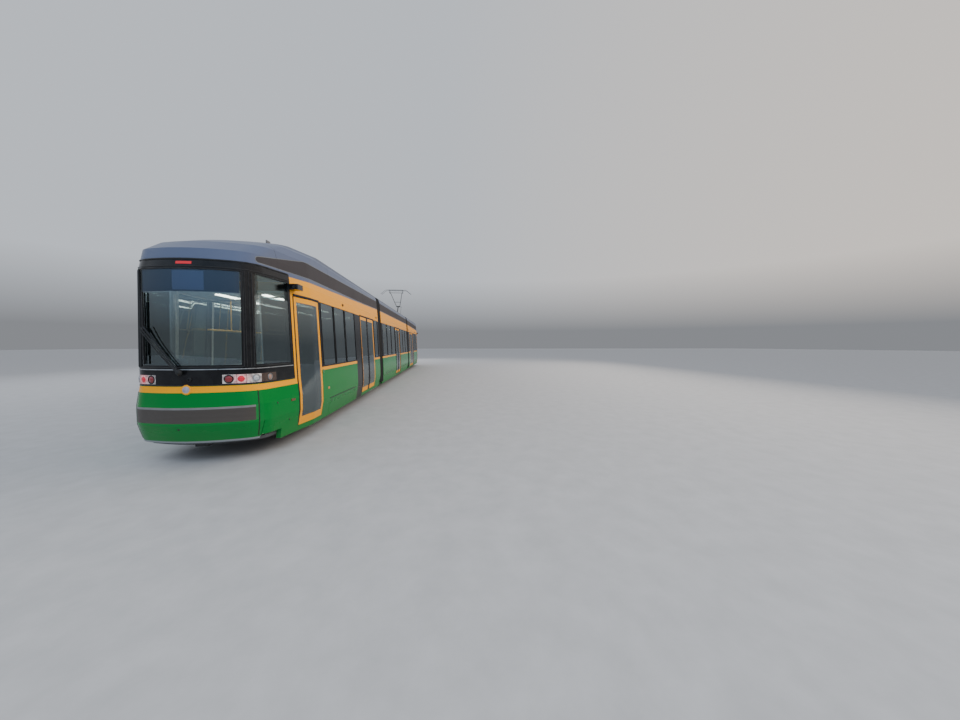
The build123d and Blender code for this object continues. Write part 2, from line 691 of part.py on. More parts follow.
# Cab at the leading end: desk, seat and partition
DESK_X = (HALF_END - 740.0, HALF_END - 300.0)
DESK_TOP = 1150.0
DESK_KNEES = (420.0, 1000.0)    # half width and height of the room under the desk
DRIVER_X = HALF_END - 1050.0
DRIVER_STEP = 60.0
DRIVER_WIDTH = 500.0
PARTITION_X = (HALF_END - 1380.0, HALF_END - 1350.0)
CAB_WINDOW = (900.0, 1150.0, 2500.0)    # half width, sill and top of the partition's window
CAB_DOOR_Y = -380.0
cab_room = mirrored(end_forms["wall"])[0]
desk = cab_room & block(DESK_X, (-WIDE, WIDE), (RAIL + FLOOR, RAIL + DESK_TOP))
desk = desk - block((0, DESK_X[1] - 200.0), (-DESK_KNEES[0], DESK_KNEES[0]), (0, RAIL + DESK_KNEES[1]))
driver_seat = seat_pair(DRIVER_X, 0.0, 1, RAIL + FLOOR + DRIVER_STEP, DRIVER_WIDTH)
step_z = (RAIL + FLOOR, RAIL + FLOOR + DRIVER_STEP + 1)
driver_foot = block((DRIVER_X - 100, DRIVER_X + 100), (-150, 150), step_z)
partition = cab_room & block(PARTITION_X, (CAB_DOOR_Y, WIDE), (RAIL + FLOOR, RAIL + CEILING))
window_y = (-CAB_WINDOW[0], CAB_WINDOW[0])
partition = partition - block((0, WIDE), window_y, (RAIL + CAB_WINDOW[1], RAIL + CAB_WINDOW[2]))
keep("cab", desk, driver_seat + driver_foot, partition)

# Middle section
mid_forms = {
    "outer": middle_form(),
    "wall": middle_form(WALL),
    "roof": middle_form(ROOF_SKIN),
    "glass_outer": middle_form(GLASS_INSET),
    "glass_inner": middle_form(GLASS_INSET + GLASS_THICK),
    "door_outer": middle_form(DOOR_INSET),
    "door_inner": middle_form(DOOR_INSET + DOOR_THICK),
}
MID_END_X = PIVOT_X - JOINT_GAP
mid_shell = mid_forms["outer"] - mid_forms["wall"]
mid_windows_right = [(-a, -b) for a, b in MIDDLE_WINDOWS] + [(b, a) for a, b in MIDDLE_WINDOWS]
mid_windows_left = mid_windows_right + [MIDDLE_WINDOW_BLIND]
mid_door = (("double", MIDDLE_DOOR_HALF, -MIDDLE_DOOR_HALF),)
mid_body = mid_shell & band(KINK, WALL_HIGH)
mid_body = cut(mid_body, door_cuts(mid_door))
mid_body = cut(mid_body, window_cuts(mid_windows_right, -1))
mid_body = cut(mid_body, window_cuts(mid_windows_left, 1))
mid_body = mid_body + portal(mid_forms["wall"], -MID_END_X, 1) + portal(mid_forms["wall"], MID_END_X, -1)
keep("middle_car_body", mid_body)

mid_breaks = [-MID_END_X]
for bogie_x in (-BOGIE_MID_X, BOGIE_MID_X):
    mid_breaks += [bogie_x - BOGIE_COVER, bogie_x + BOGIE_COVER]
mid_breaks.append(MID_END_X)
for first, last in zip(mid_breaks, mid_breaks[1:]):
    for side in (-1, 1):
        panel = mid_shell & side_block(shrink((first, last), PANEL_GAP), side, SKIRT_LOW, KINK)
        if side < 0:
            panel = cut(panel, door_cuts(mid_door))
        keep("middle_skirts", panel)

mid_glass_shell = mid_forms["glass_outer"] - mid_forms["glass_inner"]
for tool in window_cuts(mid_windows_right, -1) + window_cuts(mid_windows_left, 1):
    keep("middle_side_glass", mid_glass_shell & tool)
mid_leaves, mid_panes = make_doors(mid_door, mid_forms)
keep("middle_doors", mid_leaves)
keep("middle_side_glass", mid_panes)

MID_WELL = (-MID_END_X + ROOF_SKIN, MID_END_X - ROOF_SKIN)
mid_roof = (mid_forms["outer"] - mid_forms["roof"]) & roof_zone
mid_roof = mid_roof + (mid_forms["roof"] & band(WALL_HIGH, WELL_FLOOR))
for x in ((-MID_END_X, -MID_END_X + ROOF_SKIN), (MID_END_X - ROOF_SKIN, MID_END_X)):
    mid_roof = mid_roof + (mid_forms["roof"] & block(x, (-WIDE, WIDE), (RAIL + WALL_HIGH, TALL)))
mid_roof = mid_roof - block(MID_WELL, (-WELL_HALF, WELL_HALF), (RAIL + WELL_FLOOR, TALL))
keep("middle_roof", mid_roof)
keep("middle_roof_units", roof_units(MIDDLE_UNITS))

mid_floor = floor_plate((-MID_END_X, MID_END_X), mid_forms["wall"], (-BOGIE_MID_X, BOGIE_MID_X))
middle_z = FLOOR_LOW + FLOOR_PLATE / 2
for side in (-1, 1):
    carrier_x = (side * MID_END_X, side * PIVOT_X)
    carrier = block(carrier_x, (-TURNTABLE_R, TURNTABLE_R), (FLOOR_LOW, RAIL + FLOOR))
    carrier = carrier + cylinder(TURNTABLE_R, FLOOR_PLATE, (side * PIVOT_X, 0, middle_z))
    socket_z = PIN_TOP - FLOOR_PLATE
    carrier = carrier - cylinder(PIN_R + PIN_GAP, 2 * FLOOR_PLATE, (side * PIVOT_X, 0, socket_z))
    mid_floor = mid_floor + carrier
    for end in (-1, 1):
        mid_floor = mid_floor + jack_pad(end * JACK_MID_X, side)
keep("middle_floor", mid_floor)
MIDDLE_PLINTH_SEATS = []
for bogie_x in (-BOGIE_MID_X, BOGIE_MID_X):
    keep("middle_wheel_covers", wheel_boxes(bogie_x)[0])
    for side in (-1, 1):
        for facing in (-1, 1):
            MIDDLE_PLINTH_SEATS.append((bogie_x - facing * OVER_BOGIE, side, facing))
keep("middle_seats", place_seats(MIDDLE_PLINTH_SEATS, ()))
MIDDLE_POLES = (
    (-MIDDLE_DOOR_HALF - 150.0, -POLE_Y, FLOOR),
    (MIDDLE_DOOR_HALF + 150.0, -POLE_Y, FLOOR),
    (0.0, POLE_Y, FLOOR),
)
mid_ceiling_x = (-MID_END_X + PORTAL_WALL, MID_END_X - PORTAL_WALL)
keep("middle_ceiling_and_poles", ceiling(mid_forms["wall"], mid_ceiling_x, MIDDLE_POLES))

# Bellows between the sections: one ring of folds round sides and roof, open below
BELLOWS_INSET = 20.0
BELLOWS_WALL = 130.0
BELLOWS_LOW = 345.0
FABRIC_GAP = 0.3


def bellows_ring(inset, low):
    """Outline of the bellows across the tram, drawn in by an inset."""
    rise = [(LEVELS[1][1] - inset, RAIL + low)]
    for height, half, *rest in LEVELS[1:]:
        rise.append((half - inset, RAIL + height - (inset if height > WALL_HIGH else 0)))
    ring = Polyline(*(rise + [(-y, z) for y, z in reversed(rise)]), close=True)
    return Plane.YZ * make_face(ring)


for name, side in (("rear_bellows", -1), ("front_bellows", 1)):
    length = 2 * JOINT_GAP - FABRIC_GAP
    start = MID_END_X if side > 0 else -MID_END_X - length
    tube = extrude(bellows_ring(BELLOWS_INSET, BELLOWS_LOW), amount=length)
    tunnel = extrude(bellows_ring(BELLOWS_INSET + BELLOWS_WALL, 0.0), amount=length)
    keep(name, Pos(start, 0, 0) * (tube - tunnel))


# Bogies
HUB_R = 115.0
WEB_R = 250.0
FLANGE_WIDE = 24.0
TREAD_CONE = 3.0            # the tread falls by this much to its outer edge


def wheel_profile():
    """Section of one wheel, radius against distance from the centre line."""
    hub = WHEEL_BACK + 15
    bore = AXLE_R - 2
    root = FLANGE_R - 14
    back = Polyline((bore, hub - 20), (HUB_R, hub - 20), (HUB_R, hub + 15), (WEB_R, hub + 20),
                    (WEB_R, WHEEL_BACK), (root, WHEEL_BACK))
    flange_end = (root, WHEEL_BACK + FLANGE_WIDE)
    flange = ThreePointArc((root, WHEEL_BACK), (FLANGE_R, WHEEL_BACK + FLANGE_WIDE / 2), flange_end)
    tread = (WHEEL_R + 1, WHEEL_BACK + FLANGE_WIDE + 12)
    front = Polyline(flange_end, tread, (WHEEL_R - TREAD_CONE, WHEEL_FRONT), (WEB_R, WHEEL_FRONT),
                     (WEB_R, hub + 45), (HUB_R, hub + 40), (HUB_R, hub + 75), (bore, hub + 75),
                     (bore, hub - 20))
    return make_face(back.edges() + flange.edges() + front.edges())


wheel = revolve(wheel_profile(), Axis.Y)
AXLE_HALF = WHEEL_FRONT + 20.0
JOURNAL_HALF = 710.0
axle = cylinder(AXLE_R, 2 * AXLE_HALF, (0, 0, 0), "y")
axle = axle + cylinder(JOURNAL_R, 2 * JOURNAL_HALF, (0, 0, 0), "y")
wheelset = axle + wheel + wheel.mirror(Plane.XZ)

FRAME_TOP = FLOOR_LOW + FLOOR_OVER_BOGIE - FLOOR - 30.0
FRAME_IN = 610.0
FRAME_OUT = 700.0
TRANSOM_HALF = 350.0
RING_R = 260.0
BOX_HALF = 100.0            # axle box along the beam
MAGNET = (380.0, 470.0, 530.0)  # half length, inner and outer y of a track brake
MAGNET_Z = (RAIL + 12.0, RAIL + 110.0)
MOTOR_X = (340.0, 700.0)
MOTOR_HALF = 150.0
MOTOR_Y = 60.0              # motors and gears lie off the middle, one to each side
GEAR_HALF = 90.0
DRIVE_Z = (AXLE_Z - 120.0, AXLE_Z + 110.0)


def bogie_frame():
    """Side beams with axle boxes, transom, slewing ring, motors and track brakes."""
    frame = block((-TRANSOM_HALF, TRANSOM_HALF), (-FRAME_OUT, FRAME_OUT), (AXLE_Z - 90, FRAME_TOP - 20))
    ring_top = FLOOR_LOW + FLOOR_OVER_BOGIE - FLOOR - BOGIE_FLOOR_GAP
    ring_low = FRAME_TOP - 40
    frame = frame + cylinder(RING_R, ring_top - ring_low, (0, 0, (ring_top + ring_low) / 2))
    half_base = WHEEL_BASE / 2
    for side in (-1, 1):
        y = (side * FRAME_IN, side * FRAME_OUT)
        beam_half = half_base + BOX_HALF + 20
        frame = frame + block((-beam_half, beam_half), y, (AXLE_Z + 20, FRAME_TOP))
        for end in (-1, 1):
            axle_x = end * half_base
            frame = frame + block((axle_x - BOX_HALF, axle_x + BOX_HALF), y, (AXLE_Z - BOX_HALF, FRAME_TOP))
        frame = frame + block((-MAGNET[0], MAGNET[0]), (side * MAGNET[1], side * MAGNET[2]), MAGNET_Z)
        for x in (-200, 200):
            hanger_y = (side * (MAGNET[1] + 10), side * (MAGNET[2] - 10))
            frame = frame + block((x - 30, x + 30), hanger_y, (MAGNET_Z[1] - 10, AXLE_Z - 80))
    for end in (-1, 1):
        y = -end * MOTOR_Y
        motor_x = (end * MOTOR_X[0], end * MOTOR_X[1])
        frame = frame + block(motor_x, (y - MOTOR_HALF, y + MOTOR_HALF), DRIVE_Z)
        gear_x = (end * (half_base - 150), end * (half_base + 110))
        frame = frame + block(gear_x, (y - GEAR_HALF, y + GEAR_HALF), DRIVE_Z)
    for end in (-1, 1):
        axle_line = (end * half_base, 0, AXLE_Z)
        frame = frame - cylinder(JOURNAL_R + JOURNAL_GAP, 3 * JOURNAL_HALF, axle_line, "y")
        frame = frame - cylinder(AXLE_R + 6, 2 * (FRAME_IN - 60), axle_line, "y")
    return frame


frame_shape = bogie_frame()
for number, x in enumerate(BOGIE_X, start=1):
    keep("bogie_%d_frame" % number, Pos(x, 0, 0) * frame_shape)
    for letter, end in (("a", -1), ("b", 1)):
        keep("bogie_%d_wheelset_%s" % (number, letter), Pos(x + end * WHEEL_BASE / 2, 0, AXLE_Z) * wheelset)

# Pantograph on the leading section, each arm drawn level about its own pivot and then raised
BASE_LOW = PAN_Z - 190.0    # underside of the base frame
BASE_TOP = PAN_Z - 130.0
FRAME_BAR = 90.0
CHEEK_Y = PAN_HALF + 15.0
CHEEK_THICK = 24.0
SHAFT_R = 25.0
INSULATOR_R = 45.0
ROD_PIN_R = 12.0
ROD_EYE_WIDE = 26.0
OPEN_EYE_GAP = 5.0          # the upper eye is open: its pin ends short of it
KNEE_PIN_R = 20.0
EYE_R = 34.0
EYE_WIDE = 30.0
HEAD_PIN_R = 16.0
deck_z = RAIL + WELL_FLOOR
base_x = (PAN_X - PAN_FOOT_X - 50, PAN_X + PAN_FOOT_X + 50)
base_y = PAN_HALF + 60
base = block(base_x, (-base_y, base_y), (BASE_LOW, BASE_TOP))
base = base - block(shrink(base_x, FRAME_BAR), (-base_y + FRAME_BAR, base_y - FRAME_BAR), (0, TALL))
for side in (-1, 1):
    y = side * CHEEK_Y
    for end in (-1, 1):
        post_z = (BASE_LOW + 10 + deck_z) / 2
        base = base + cylinder(INSULATOR_R, BASE_LOW + 10 - deck_z, (PAN_X + end * PAN_FOOT_X, y, post_z))
    cheek_y = (y - CHEEK_THICK / 2, y + CHEEK_THICK / 2)
    base = base + block((PAN_X - 50, PAN_X + 50), cheek_y, (BASE_TOP - 10, PAN_Z + 45))
rod_x = PAN_X + ROD_BASE_X
for bar_x in (PAN_X, rod_x):
    bar_y = (-PAN_HALF - 10, PAN_HALF + 10)
    base = base + block((bar_x - 30, bar_x + 30), bar_y, (BASE_LOW, BASE_LOW + 40))
rod_foot_y = (ROD_Y + 30, ROD_Y + 54)
base = base + block((rod_x - 30, rod_x + 30), rod_foot_y, (BASE_LOW, PAN_Z + ROD_BASE_Z + 25))
base = base + cylinder(ROD_PIN_R, 90, (rod_x, ROD_Y + 20, PAN_Z + ROD_BASE_Z), "y")
for side in (-1, 1):
    base = base - cylinder(SHAFT_R + FIT_GAP, 3 * CHEEK_THICK, (PAN_X, side * CHEEK_Y, PAN_Z), "y")
keep("pantograph_base", base)

lower = cylinder(SHAFT_R, 2 * PAN_HALF + 56, (0, 0, 0), "y")
lower = lower + cylinder(40, 2 * PAN_HALF - 20, (0, 0, 0), "y")
lower = lower + bar_between((0, 0, 0), (PAN_ARM, 0, 0), 38)
lower = lower + cylinder(45, 2 * KNEE_Y, (PAN_ARM, 0, 0), "y")
lower = lower + cylinder(KNEE_PIN_R, 2 * (KNEE_Y + 45), (PAN_ARM, 0, 0), "y")
keep("pantograph_lower_arm", turned(lower, PAN_RISE, PAN_X, PAN_Z))

rise = math.radians(PAN_RISE)
knee_x = PAN_X + PAN_ARM * math.cos(rise)
knee_z = PAN_Z + PAN_ARM * math.sin(rise)
eye_y = KNEE_Y + 22
TIE_X = 445.0               # cross tie between the upper tubes, from the knee
upper_parts = []
for side in (-1, 1):
    bore = cylinder(KNEE_PIN_R + FIT_GAP, 200, (0, side * eye_y, 0), "y")
    eye = cylinder(EYE_R, EYE_WIDE, (0, side * eye_y, 0), "y")
    tube = bar_between((24, side * eye_y, 0), (PAN_ARM, side * HEAD_PIVOT_Y, 0), 20)
    upper_parts.append((eye + tube) - bore)
tie_half = eye_y + (HEAD_PIVOT_Y - eye_y) * TIE_X / PAN_ARM
tie = cylinder(14, 2 * tie_half, (TIE_X, 0, 0), "y")
head_bar = cylinder(HEAD_PIN_R, 2 * HEAD_PIVOT_Y + 150, (PAN_ARM, 0, 0), "y")
tail_angle = math.radians(ROD_TAIL_ANGLE)
tail_end = (ROD_TAIL * math.cos(tail_angle), 0, ROD_TAIL * math.sin(tail_angle))
tail_start = (24 * math.cos(tail_angle), -eye_y, 24 * math.sin(tail_angle))
tail = bar_between(tail_start, (tail_end[0], -eye_y, tail_end[2]), 12)
tail_reach = -ROD_Y - eye_y - ROD_EYE_WIDE / 2 - OPEN_EYE_GAP
tail = tail + cylinder(ROD_PIN_R, tail_reach, (tail_end[0], -eye_y - tail_reach / 2, tail_end[2]), "y")
tail = tail - cylinder(KNEE_PIN_R + FIT_GAP, 200, (0, -eye_y, 0), "y")
upper = upper_parts[0] + upper_parts[1] + tie + head_bar + tail
keep("pantograph_upper_arm", turned(upper, 180 - PAN_RISE, knee_x, knee_z))

up_angle = math.radians(180 - PAN_RISE + ROD_TAIL_ANGLE)
rod_rise_x = knee_x + ROD_TAIL * math.cos(up_angle) - rod_x
rod_rise_z = knee_z + ROD_TAIL * math.sin(up_angle) - PAN_Z - ROD_BASE_Z
rod_length = math.hypot(rod_rise_x, rod_rise_z)
rod_angle = math.degrees(math.atan2(rod_rise_z, rod_rise_x))
rod = bar_between((20, 0, 0), (rod_length, 0, 0), 10)
rod = rod + cylinder(26, ROD_EYE_WIDE, (0, 0, 0), "y")
rod = rod + cylinder(22, ROD_EYE_WIDE, (rod_length, 0, 0), "y")
rod = rod - cylinder(ROD_PIN_R + FIT_GAP, 60, (0, 0, 0), "y")
rod = rod - cylinder(ROD_PIN_R + FIT_GAP, 60, (rod_length, 0, 0), "y")
keep("pantograph_control_rod", Pos(0, ROD_Y, 0) * turned(rod, rod_angle, rod_x, PAN_Z + ROD_BASE_Z))

head_z = PAN_Z + 2 * PAN_ARM * math.sin(rise)
CARRIER_Y = (HEAD_PIVOT_Y + 40.0, HEAD_PIVOT_Y + 60.0)
STRIP_THICK = 30.0
HORN_R = 11.0
HORN_FLAT = 200.0           # straight part of a horn beyond the strip
HORN_BEND = 260.0
head = []
for side in (-1, 1):
    y = [side * edge for edge in CARRIER_Y]
    carrier = cylinder(32, 40, (0, side * CARRIER_Y[1], 0), "y")
    carrier = carrier + block((-STRIP_X, STRIP_X), y, (-20, 20))
    for end in (-1, 1):
        carrier = carrier + block((end * STRIP_X - 14, end * STRIP_X + 14), y, (-20, HEAD_RISE))
    head.append(carrier - cylinder(HEAD_PIN_R + FIT_GAP, 200, (0, side * CARRIER_Y[0], 0), "y"))
horn_z = HEAD_RISE + STRIP_THICK / 2
for end in (-1, 1):
    strip_x = (end * STRIP_X - 20, end * STRIP_X + 20)
    head.append(block(strip_x, (-STRIP_HALF, STRIP_HALF), (HEAD_RISE, HEAD_RISE + STRIP_THICK)))
    for side in (-1, 1):
        first, corner, last = [
            (end * STRIP_X, side * y, z)
            for y, z in (
                (STRIP_HALF - 5, horn_z),
                (STRIP_HALF + HORN_FLAT, horn_z),
                (HEAD_HALF - HORN_R, horn_z - HORN_DROP),
            )
        ]
        horn_path = FilletPolyline(first, corner, last, radius=[HORN_BEND])
        head.append(sweep(Plane(origin=first, z_dir=(0, side, 0)) * Circle(HORN_R), path=horn_path))
whole_head = head[0]
for piece in head[1:]:
    whole_head = whole_head + piece
keep("pantograph_head", Pos(PAN_X, 0, head_z) * whole_head)

# Written files
for name, solids in NODES.items():
    shape = solids[0] if len(solids) == 1 else Compound(children=solids)
    shape.label = name
    export_step(shape, "parts/" + name + ".step")
print(len(NODES), "nodes")
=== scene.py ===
import math

import bmesh
import bpy
from mathutils import Matrix, Vector
from mathutils.bvhtree import BVHTree


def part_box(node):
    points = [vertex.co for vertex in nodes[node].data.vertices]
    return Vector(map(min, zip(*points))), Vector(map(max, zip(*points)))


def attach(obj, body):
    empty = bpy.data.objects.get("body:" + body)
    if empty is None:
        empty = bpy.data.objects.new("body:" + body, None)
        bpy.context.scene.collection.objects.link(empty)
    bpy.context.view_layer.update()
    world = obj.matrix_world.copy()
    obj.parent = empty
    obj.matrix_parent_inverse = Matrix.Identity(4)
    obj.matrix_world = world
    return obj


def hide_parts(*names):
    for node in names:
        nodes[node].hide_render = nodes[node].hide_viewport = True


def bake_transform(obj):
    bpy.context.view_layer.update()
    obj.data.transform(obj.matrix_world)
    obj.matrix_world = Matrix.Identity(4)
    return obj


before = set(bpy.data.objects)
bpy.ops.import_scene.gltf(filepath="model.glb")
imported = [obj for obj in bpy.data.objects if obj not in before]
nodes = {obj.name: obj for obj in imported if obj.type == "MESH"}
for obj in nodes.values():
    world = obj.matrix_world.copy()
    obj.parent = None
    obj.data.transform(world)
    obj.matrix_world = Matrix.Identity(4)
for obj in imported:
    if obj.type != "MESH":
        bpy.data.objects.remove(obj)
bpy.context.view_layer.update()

# Camera: stands to one side behind the trailing end, as high as the lower part of its screen.
# It looks along the tram and slightly to the right, through a very wide lens.
camera_data = bpy.data.cameras.new("camera")
camera_data.lens = 12.882
camera_data.sensor_width = 36.0
camera = bpy.data.objects.new("camera", camera_data)
camera.location = (-19.287, -3.903, 1.873)
CAMERA_DOWN = 2.50
CAMERA_RIGHT = 5.346
camera.rotation_euler = (math.radians(90 - CAMERA_DOWN), 0, math.radians(-90 - CAMERA_RIGHT))
bpy.context.scene.collection.objects.link(camera)
bpy.context.scene.camera = camera

# Floor and light: a plain pale floor and soft light from large panels, as in a studio.
# The light from all round is cooler behind the trailing end and warmer on the door side.


class Signal:
    """A shader socket. Sums, products and comparisons of signals add Math nodes."""

    def __init__(self, finish, socket):
        self.finish = finish
        self.socket = socket

    def math(self, operation, other=0.0):
        return self.finish.add("ShaderNodeMath", {"operation": operation}, {0: self, 1: other})

    def reflected(self, operation, other):
        return self.finish.add("ShaderNodeMath", {"operation": operation}, {0: other, 1: self})

    def __add__(self, other):
        return self.math("ADD", other)

    def __sub__(self, other):
        return self.math("SUBTRACT", other)

    def __mul__(self, other):
        return self.math("MULTIPLY", other)

    def __truediv__(self, other):
        return self.math("DIVIDE", other)

    def __gt__(self, other):
        return self.math("GREATER_THAN", other)

    def __lt__(self, other):
        return self.math("LESS_THAN", other)

    def __rsub__(self, other):
        return self.reflected("SUBTRACT", other)

    __radd__ = __add__
    __rmul__ = __mul__

    def size(self):
        return self.math("ABSOLUTE")

    def wave(self):
        return self.math("SINE")

    def at_least(self, low):
        return self.math("MAXIMUM", low)

    def at_most(self, high):
        return self.math("MINIMUM", high)

    either = at_least

    def between(self, low, high):
        return (self > low) * (self < high)

    def distance(self, other):
        return (self * self + other * other).math("SQRT")


class Finish:
    """One procedural material: its node tree and its main shader."""

    def __init__(self, name, **constants):
        self.material = bpy.data.materials.new(name)
        self.material.use_nodes = True
        self.tree = self.material.node_tree
        self.shader = self.tree.nodes["Principled BSDF"]
        for socket, value in constants.items():
            self.shader.inputs[socket.replace("_", " ")].default_value = value

    @classmethod
    def all_round(cls, world):
        """The light that comes from all round, put together as a finish is."""
        finish = cls.__new__(cls)
        finish.material = world
        finish.tree = world.node_tree
        finish.shader = world.node_tree.nodes["Background"]
        return finish

    def add(self, kind, settings, sockets, output=0):
        """Any node: its settings first, then the values or links of its sockets."""
        node = self.tree.nodes.new(kind)
        for name, value in settings.items():
            if name == "stops":
                for stop, (position, colour) in zip(node.color_ramp.elements, value):
                    stop.position, stop.color = position, colour
            else:
                setattr(node, name, value)
        for name, value in sockets.items():
            if isinstance(value, Signal):
                self.tree.links.new(value.socket, node.inputs[name])
            else:
                node.inputs[name].default_value = value
        return Signal(self, node.outputs[output])

    def feed(self, socket, signal):
        self.tree.links.new(signal.socket, self.shader.inputs[socket])

    def parts_of(self, output):
        """The x, y and z of the place on the object, or of the way that its surface faces."""
        vector = self.add("ShaderNodeTexCoord", {}, {}, output)
        split = self.add("ShaderNodeSeparateXYZ", {}, {0: vector}).socket.node
        return [Signal(self, split.outputs[i]) for i in range(3)]

    def mix(self, share, first, second):
        """One colour over another."""
        return self.add("ShaderNodeMix", {"data_type": "RGBA"}, {0: share, 6: first, 7: second}, 2)

    def noise(self, scale, detail=3.0, roughness=0.5):
        place = self.add("ShaderNodeTexCoord", {}, {}, "Object")
        sockets = {"Vector": place, "Scale": scale, "Detail": detail, "Roughness": roughness}
        return self.add("ShaderNodeTexNoise", {}, sockets)

    def bump(self, height, strength, distance):
        sockets = {"Height": height, "Strength": strength, "Distance": distance}
        self.feed("Normal", self.add("ShaderNodeBump", {}, sockets))

    def ramp(self, value, low, high, colour_low, colour_high):
        stops = ((low, colour_low), (high, colour_high))
        return self.add("ShaderNodeValToRGB", {"stops": stops}, {0: value})


def uneven(name, dark, light, scale, rough, grain=0.0, **constants):
    """A finish with patches between two colours, uneven gloss and an optional fine grain."""
    finish = Finish(name, **constants)
    patches = finish.noise(scale, 5.0, 0.6)
    finish.feed("Base Color", finish.ramp(patches, 0.32, 0.70, (*dark, 1), (*light, 1)))
    finish.feed("Roughness", rough + patches * 0.16)
    if grain:
        finish.bump(finish.noise(scale * 40.0, 2.0), 0.3, grain)
    return finish.material


FLOOR_HALF = 160.0
FLOOR_DARK, FLOOR_LIGHT = (0.40, 0.40, 0.41), (0.46, 0.46, 0.47)
floor_mesh = bmesh.new()
bmesh.ops.create_grid(floor_mesh, x_segments=1, y_segments=1, size=FLOOR_HALF)
floor_data = bpy.data.meshes.new("studio_floor")
floor_mesh.to_mesh(floor_data)
floor = bpy.data.objects.new("studio_floor", floor_data)
bpy.context.scene.collection.objects.link(floor)
floor_data.materials.append(uneven("floor_finish", FLOOR_DARK, FLOOR_LIGHT, 3.0, 0.7))

PLAIN_LIGHT = (0.66, 0.70, 0.76, 1)
COOL_LIGHT = (0.56, 0.74, 0.98, 1)
WARM_LIGHT = (1.00, 0.88, 0.76, 1)
LOW_LIGHT = (0.26, 0.27, 0.29, 1)
HORIZON, HORIZON_SOFT = 0.04, 0.14      # where the low light ends, and how softly it does
world = bpy.data.worlds.new("studio")
world.use_nodes = True
light_round = Finish.all_round(world)
light_round.shader.inputs["Strength"].default_value = 0.98
towards_x, towards_y, towards_z = light_round.parts_of("Generated")
behind = (towards_x * -1.1).at_least(0.0).at_most(1.0)
door_side = (towards_y * -0.8).at_least(0.0)
height = ((towards_z - HORIZON) / HORIZON_SOFT).at_least(0.0).at_most(1.0)
colour = light_round.mix(behind, PLAIN_LIGHT, COOL_LIGHT)
colour = light_round.mix(door_side, colour, WARM_LIGHT)
light_round.feed("Color", light_round.mix(height, LOW_LIGHT, colour))
bpy.context.scene.world = world
# name, size along and across, power, place, point that it faces, colour
PANELS = (
    ("key_panel", 14.0, 9.0, 1500.0, (-26.0, -5.0, 12.0), (-9.0, 0.0, 2.0), (0.80, 0.90, 1.0)),
    ("side_panel", 36.0, 8.0, 3200.0, (-1.0, -18.0, 10.0), (0.0, 0.0, 2.0), (1.0, 0.90, 0.78)),
    ("far_panel", 30.0, 8.0, 1500.0, (0.0, 18.0, 12.0), (0.0, 0.0, 2.0), (0.90, 0.95, 1.0)),
    ("front_panel", 10.0, 6.0, 900.0, (26.0, 4.0, 8.0), (12.0, 0.0, 2.0), (1.0, 1.0, 1.0)),
)
for name, wide, high, power, place, target, tint in PANELS:
    light_data = bpy.data.lights.new(name, "AREA")
    light_data.shape = "RECTANGLE"
    light_data.size = wide
    light_data.size_y = high
    light_data.energy = power
    light_data.color = tint
    light = bpy.data.objects.new(name, light_data)
    light.location = place
    light.rotation_euler = (Vector(target) - Vector(place)).to_track_quat("-Z", "Y").to_euler()
    light.visible_glossy = False
    bpy.context.scene.collection.objects.link(light)

# Body shells: welded steel with glued outer panels, painted in gloss.
# Green below the windows, yellow above them and in a stripe, black between the panes.
GREEN = (0.001, 0.185, 0.030, 1)
YELLOW = (0.96, 0.385, 0.001, 1)
BLACK = (0.005, 0.005, 0.006, 1)
LINING = (0.34, 0.35, 0.34, 1)
DIRT = (0.10, 0.088, 0.070, 1)
MASK_X = 12.62              # the black end frame starts here
DOOR_POST_X = 12.53         # yellow pillar between the frame and the first door
SIDE_STRIPE = (1.325, 1.395)
END_STRIPE = (1.153, 1.248)
WINDOW_TOP = 2.805
LEAF_PANEL = (8.05, 8.65)   # black panel that the double door's leaf slides over
DUST_TOP = 0.85             # dust thickens below this height
DULL_TOP = 0.8              # and dulls the lacquer below this one


def weathered(finish, colour, z):
    """Paint with dust that thickens towards the bottom edge."""
    low = ((DUST_TOP - z) / DUST_TOP).at_least(0.0)
    return finish.mix(low * finish.noise(2.3, 6.0, 0.62) * 0.42, colour, DIRT)


def lacquer(finish, z, base=0.14):
    """Clear lacquer that dulls where dust lies."""
    dull = ((DULL_TOP - z) / DULL_TOP).at_least(0.0)
    finish.feed("Roughness", base + finish.noise(5.0, 5.0) * 0.10 + dull * 0.28)


def livery(name, window_band):
    """Paint of a side shell; skirts have no window band."""
    finish = Finish(name, Specular_IOR_Level=0.12)
    x, y, z = finish.parts_of("Object")
    faces_x, faces_y, faces_z = finish.parts_of("Normal")
    along = x.size()
    on_end = along > DOOR_POST_X
    colour = finish.mix(z.between(*SIDE_STRIPE) * (1 - on_end), GREEN, YELLOW)
    if window_band:
        colour = finish.mix(z.between(SIDE_STRIPE[1], WINDOW_TOP) * (1 - on_end), colour, BLACK)
        colour = finish.mix(z > WINDOW_TOP, colour, YELLOW)
        colour = finish.mix((z > END_STRIPE[0]) * on_end * (along < MASK_X), colour, YELLOW)
    colour = finish.mix(z.between(*END_STRIPE) * (along > MASK_X), colour, YELLOW)
    panel = along.between(*LEAF_PANEL) * (y < 0.0) * (z < WINDOW_TOP)
    colour = finish.mix(panel, colour, BLACK)
    colour = finish.mix(y * faces_y < -0.2, colour, LINING)
    finish.feed("Base Color", weathered(finish, colour, z))
    lacquer(finish, z)
    finish.bump(finish.noise(1.4, 1.0), 0.08, 0.02)
    return finish.material


def dress(material, owners, *parts):
    """Gives nodes that are carried over from the frame their finish."""
    for owner in owners:
        for part in parts:
            slots = nodes[owner + part].data.materials
            slots.clear()
            slots.append(material)


SECTIONS = ("rear", "middle", "front")
ENDS = ("rear", "front")
dress(livery("side_paint", True), SECTIONS, "_car_body")
dress(livery("skirt_paint", False), SECTIONS, "_skirts")

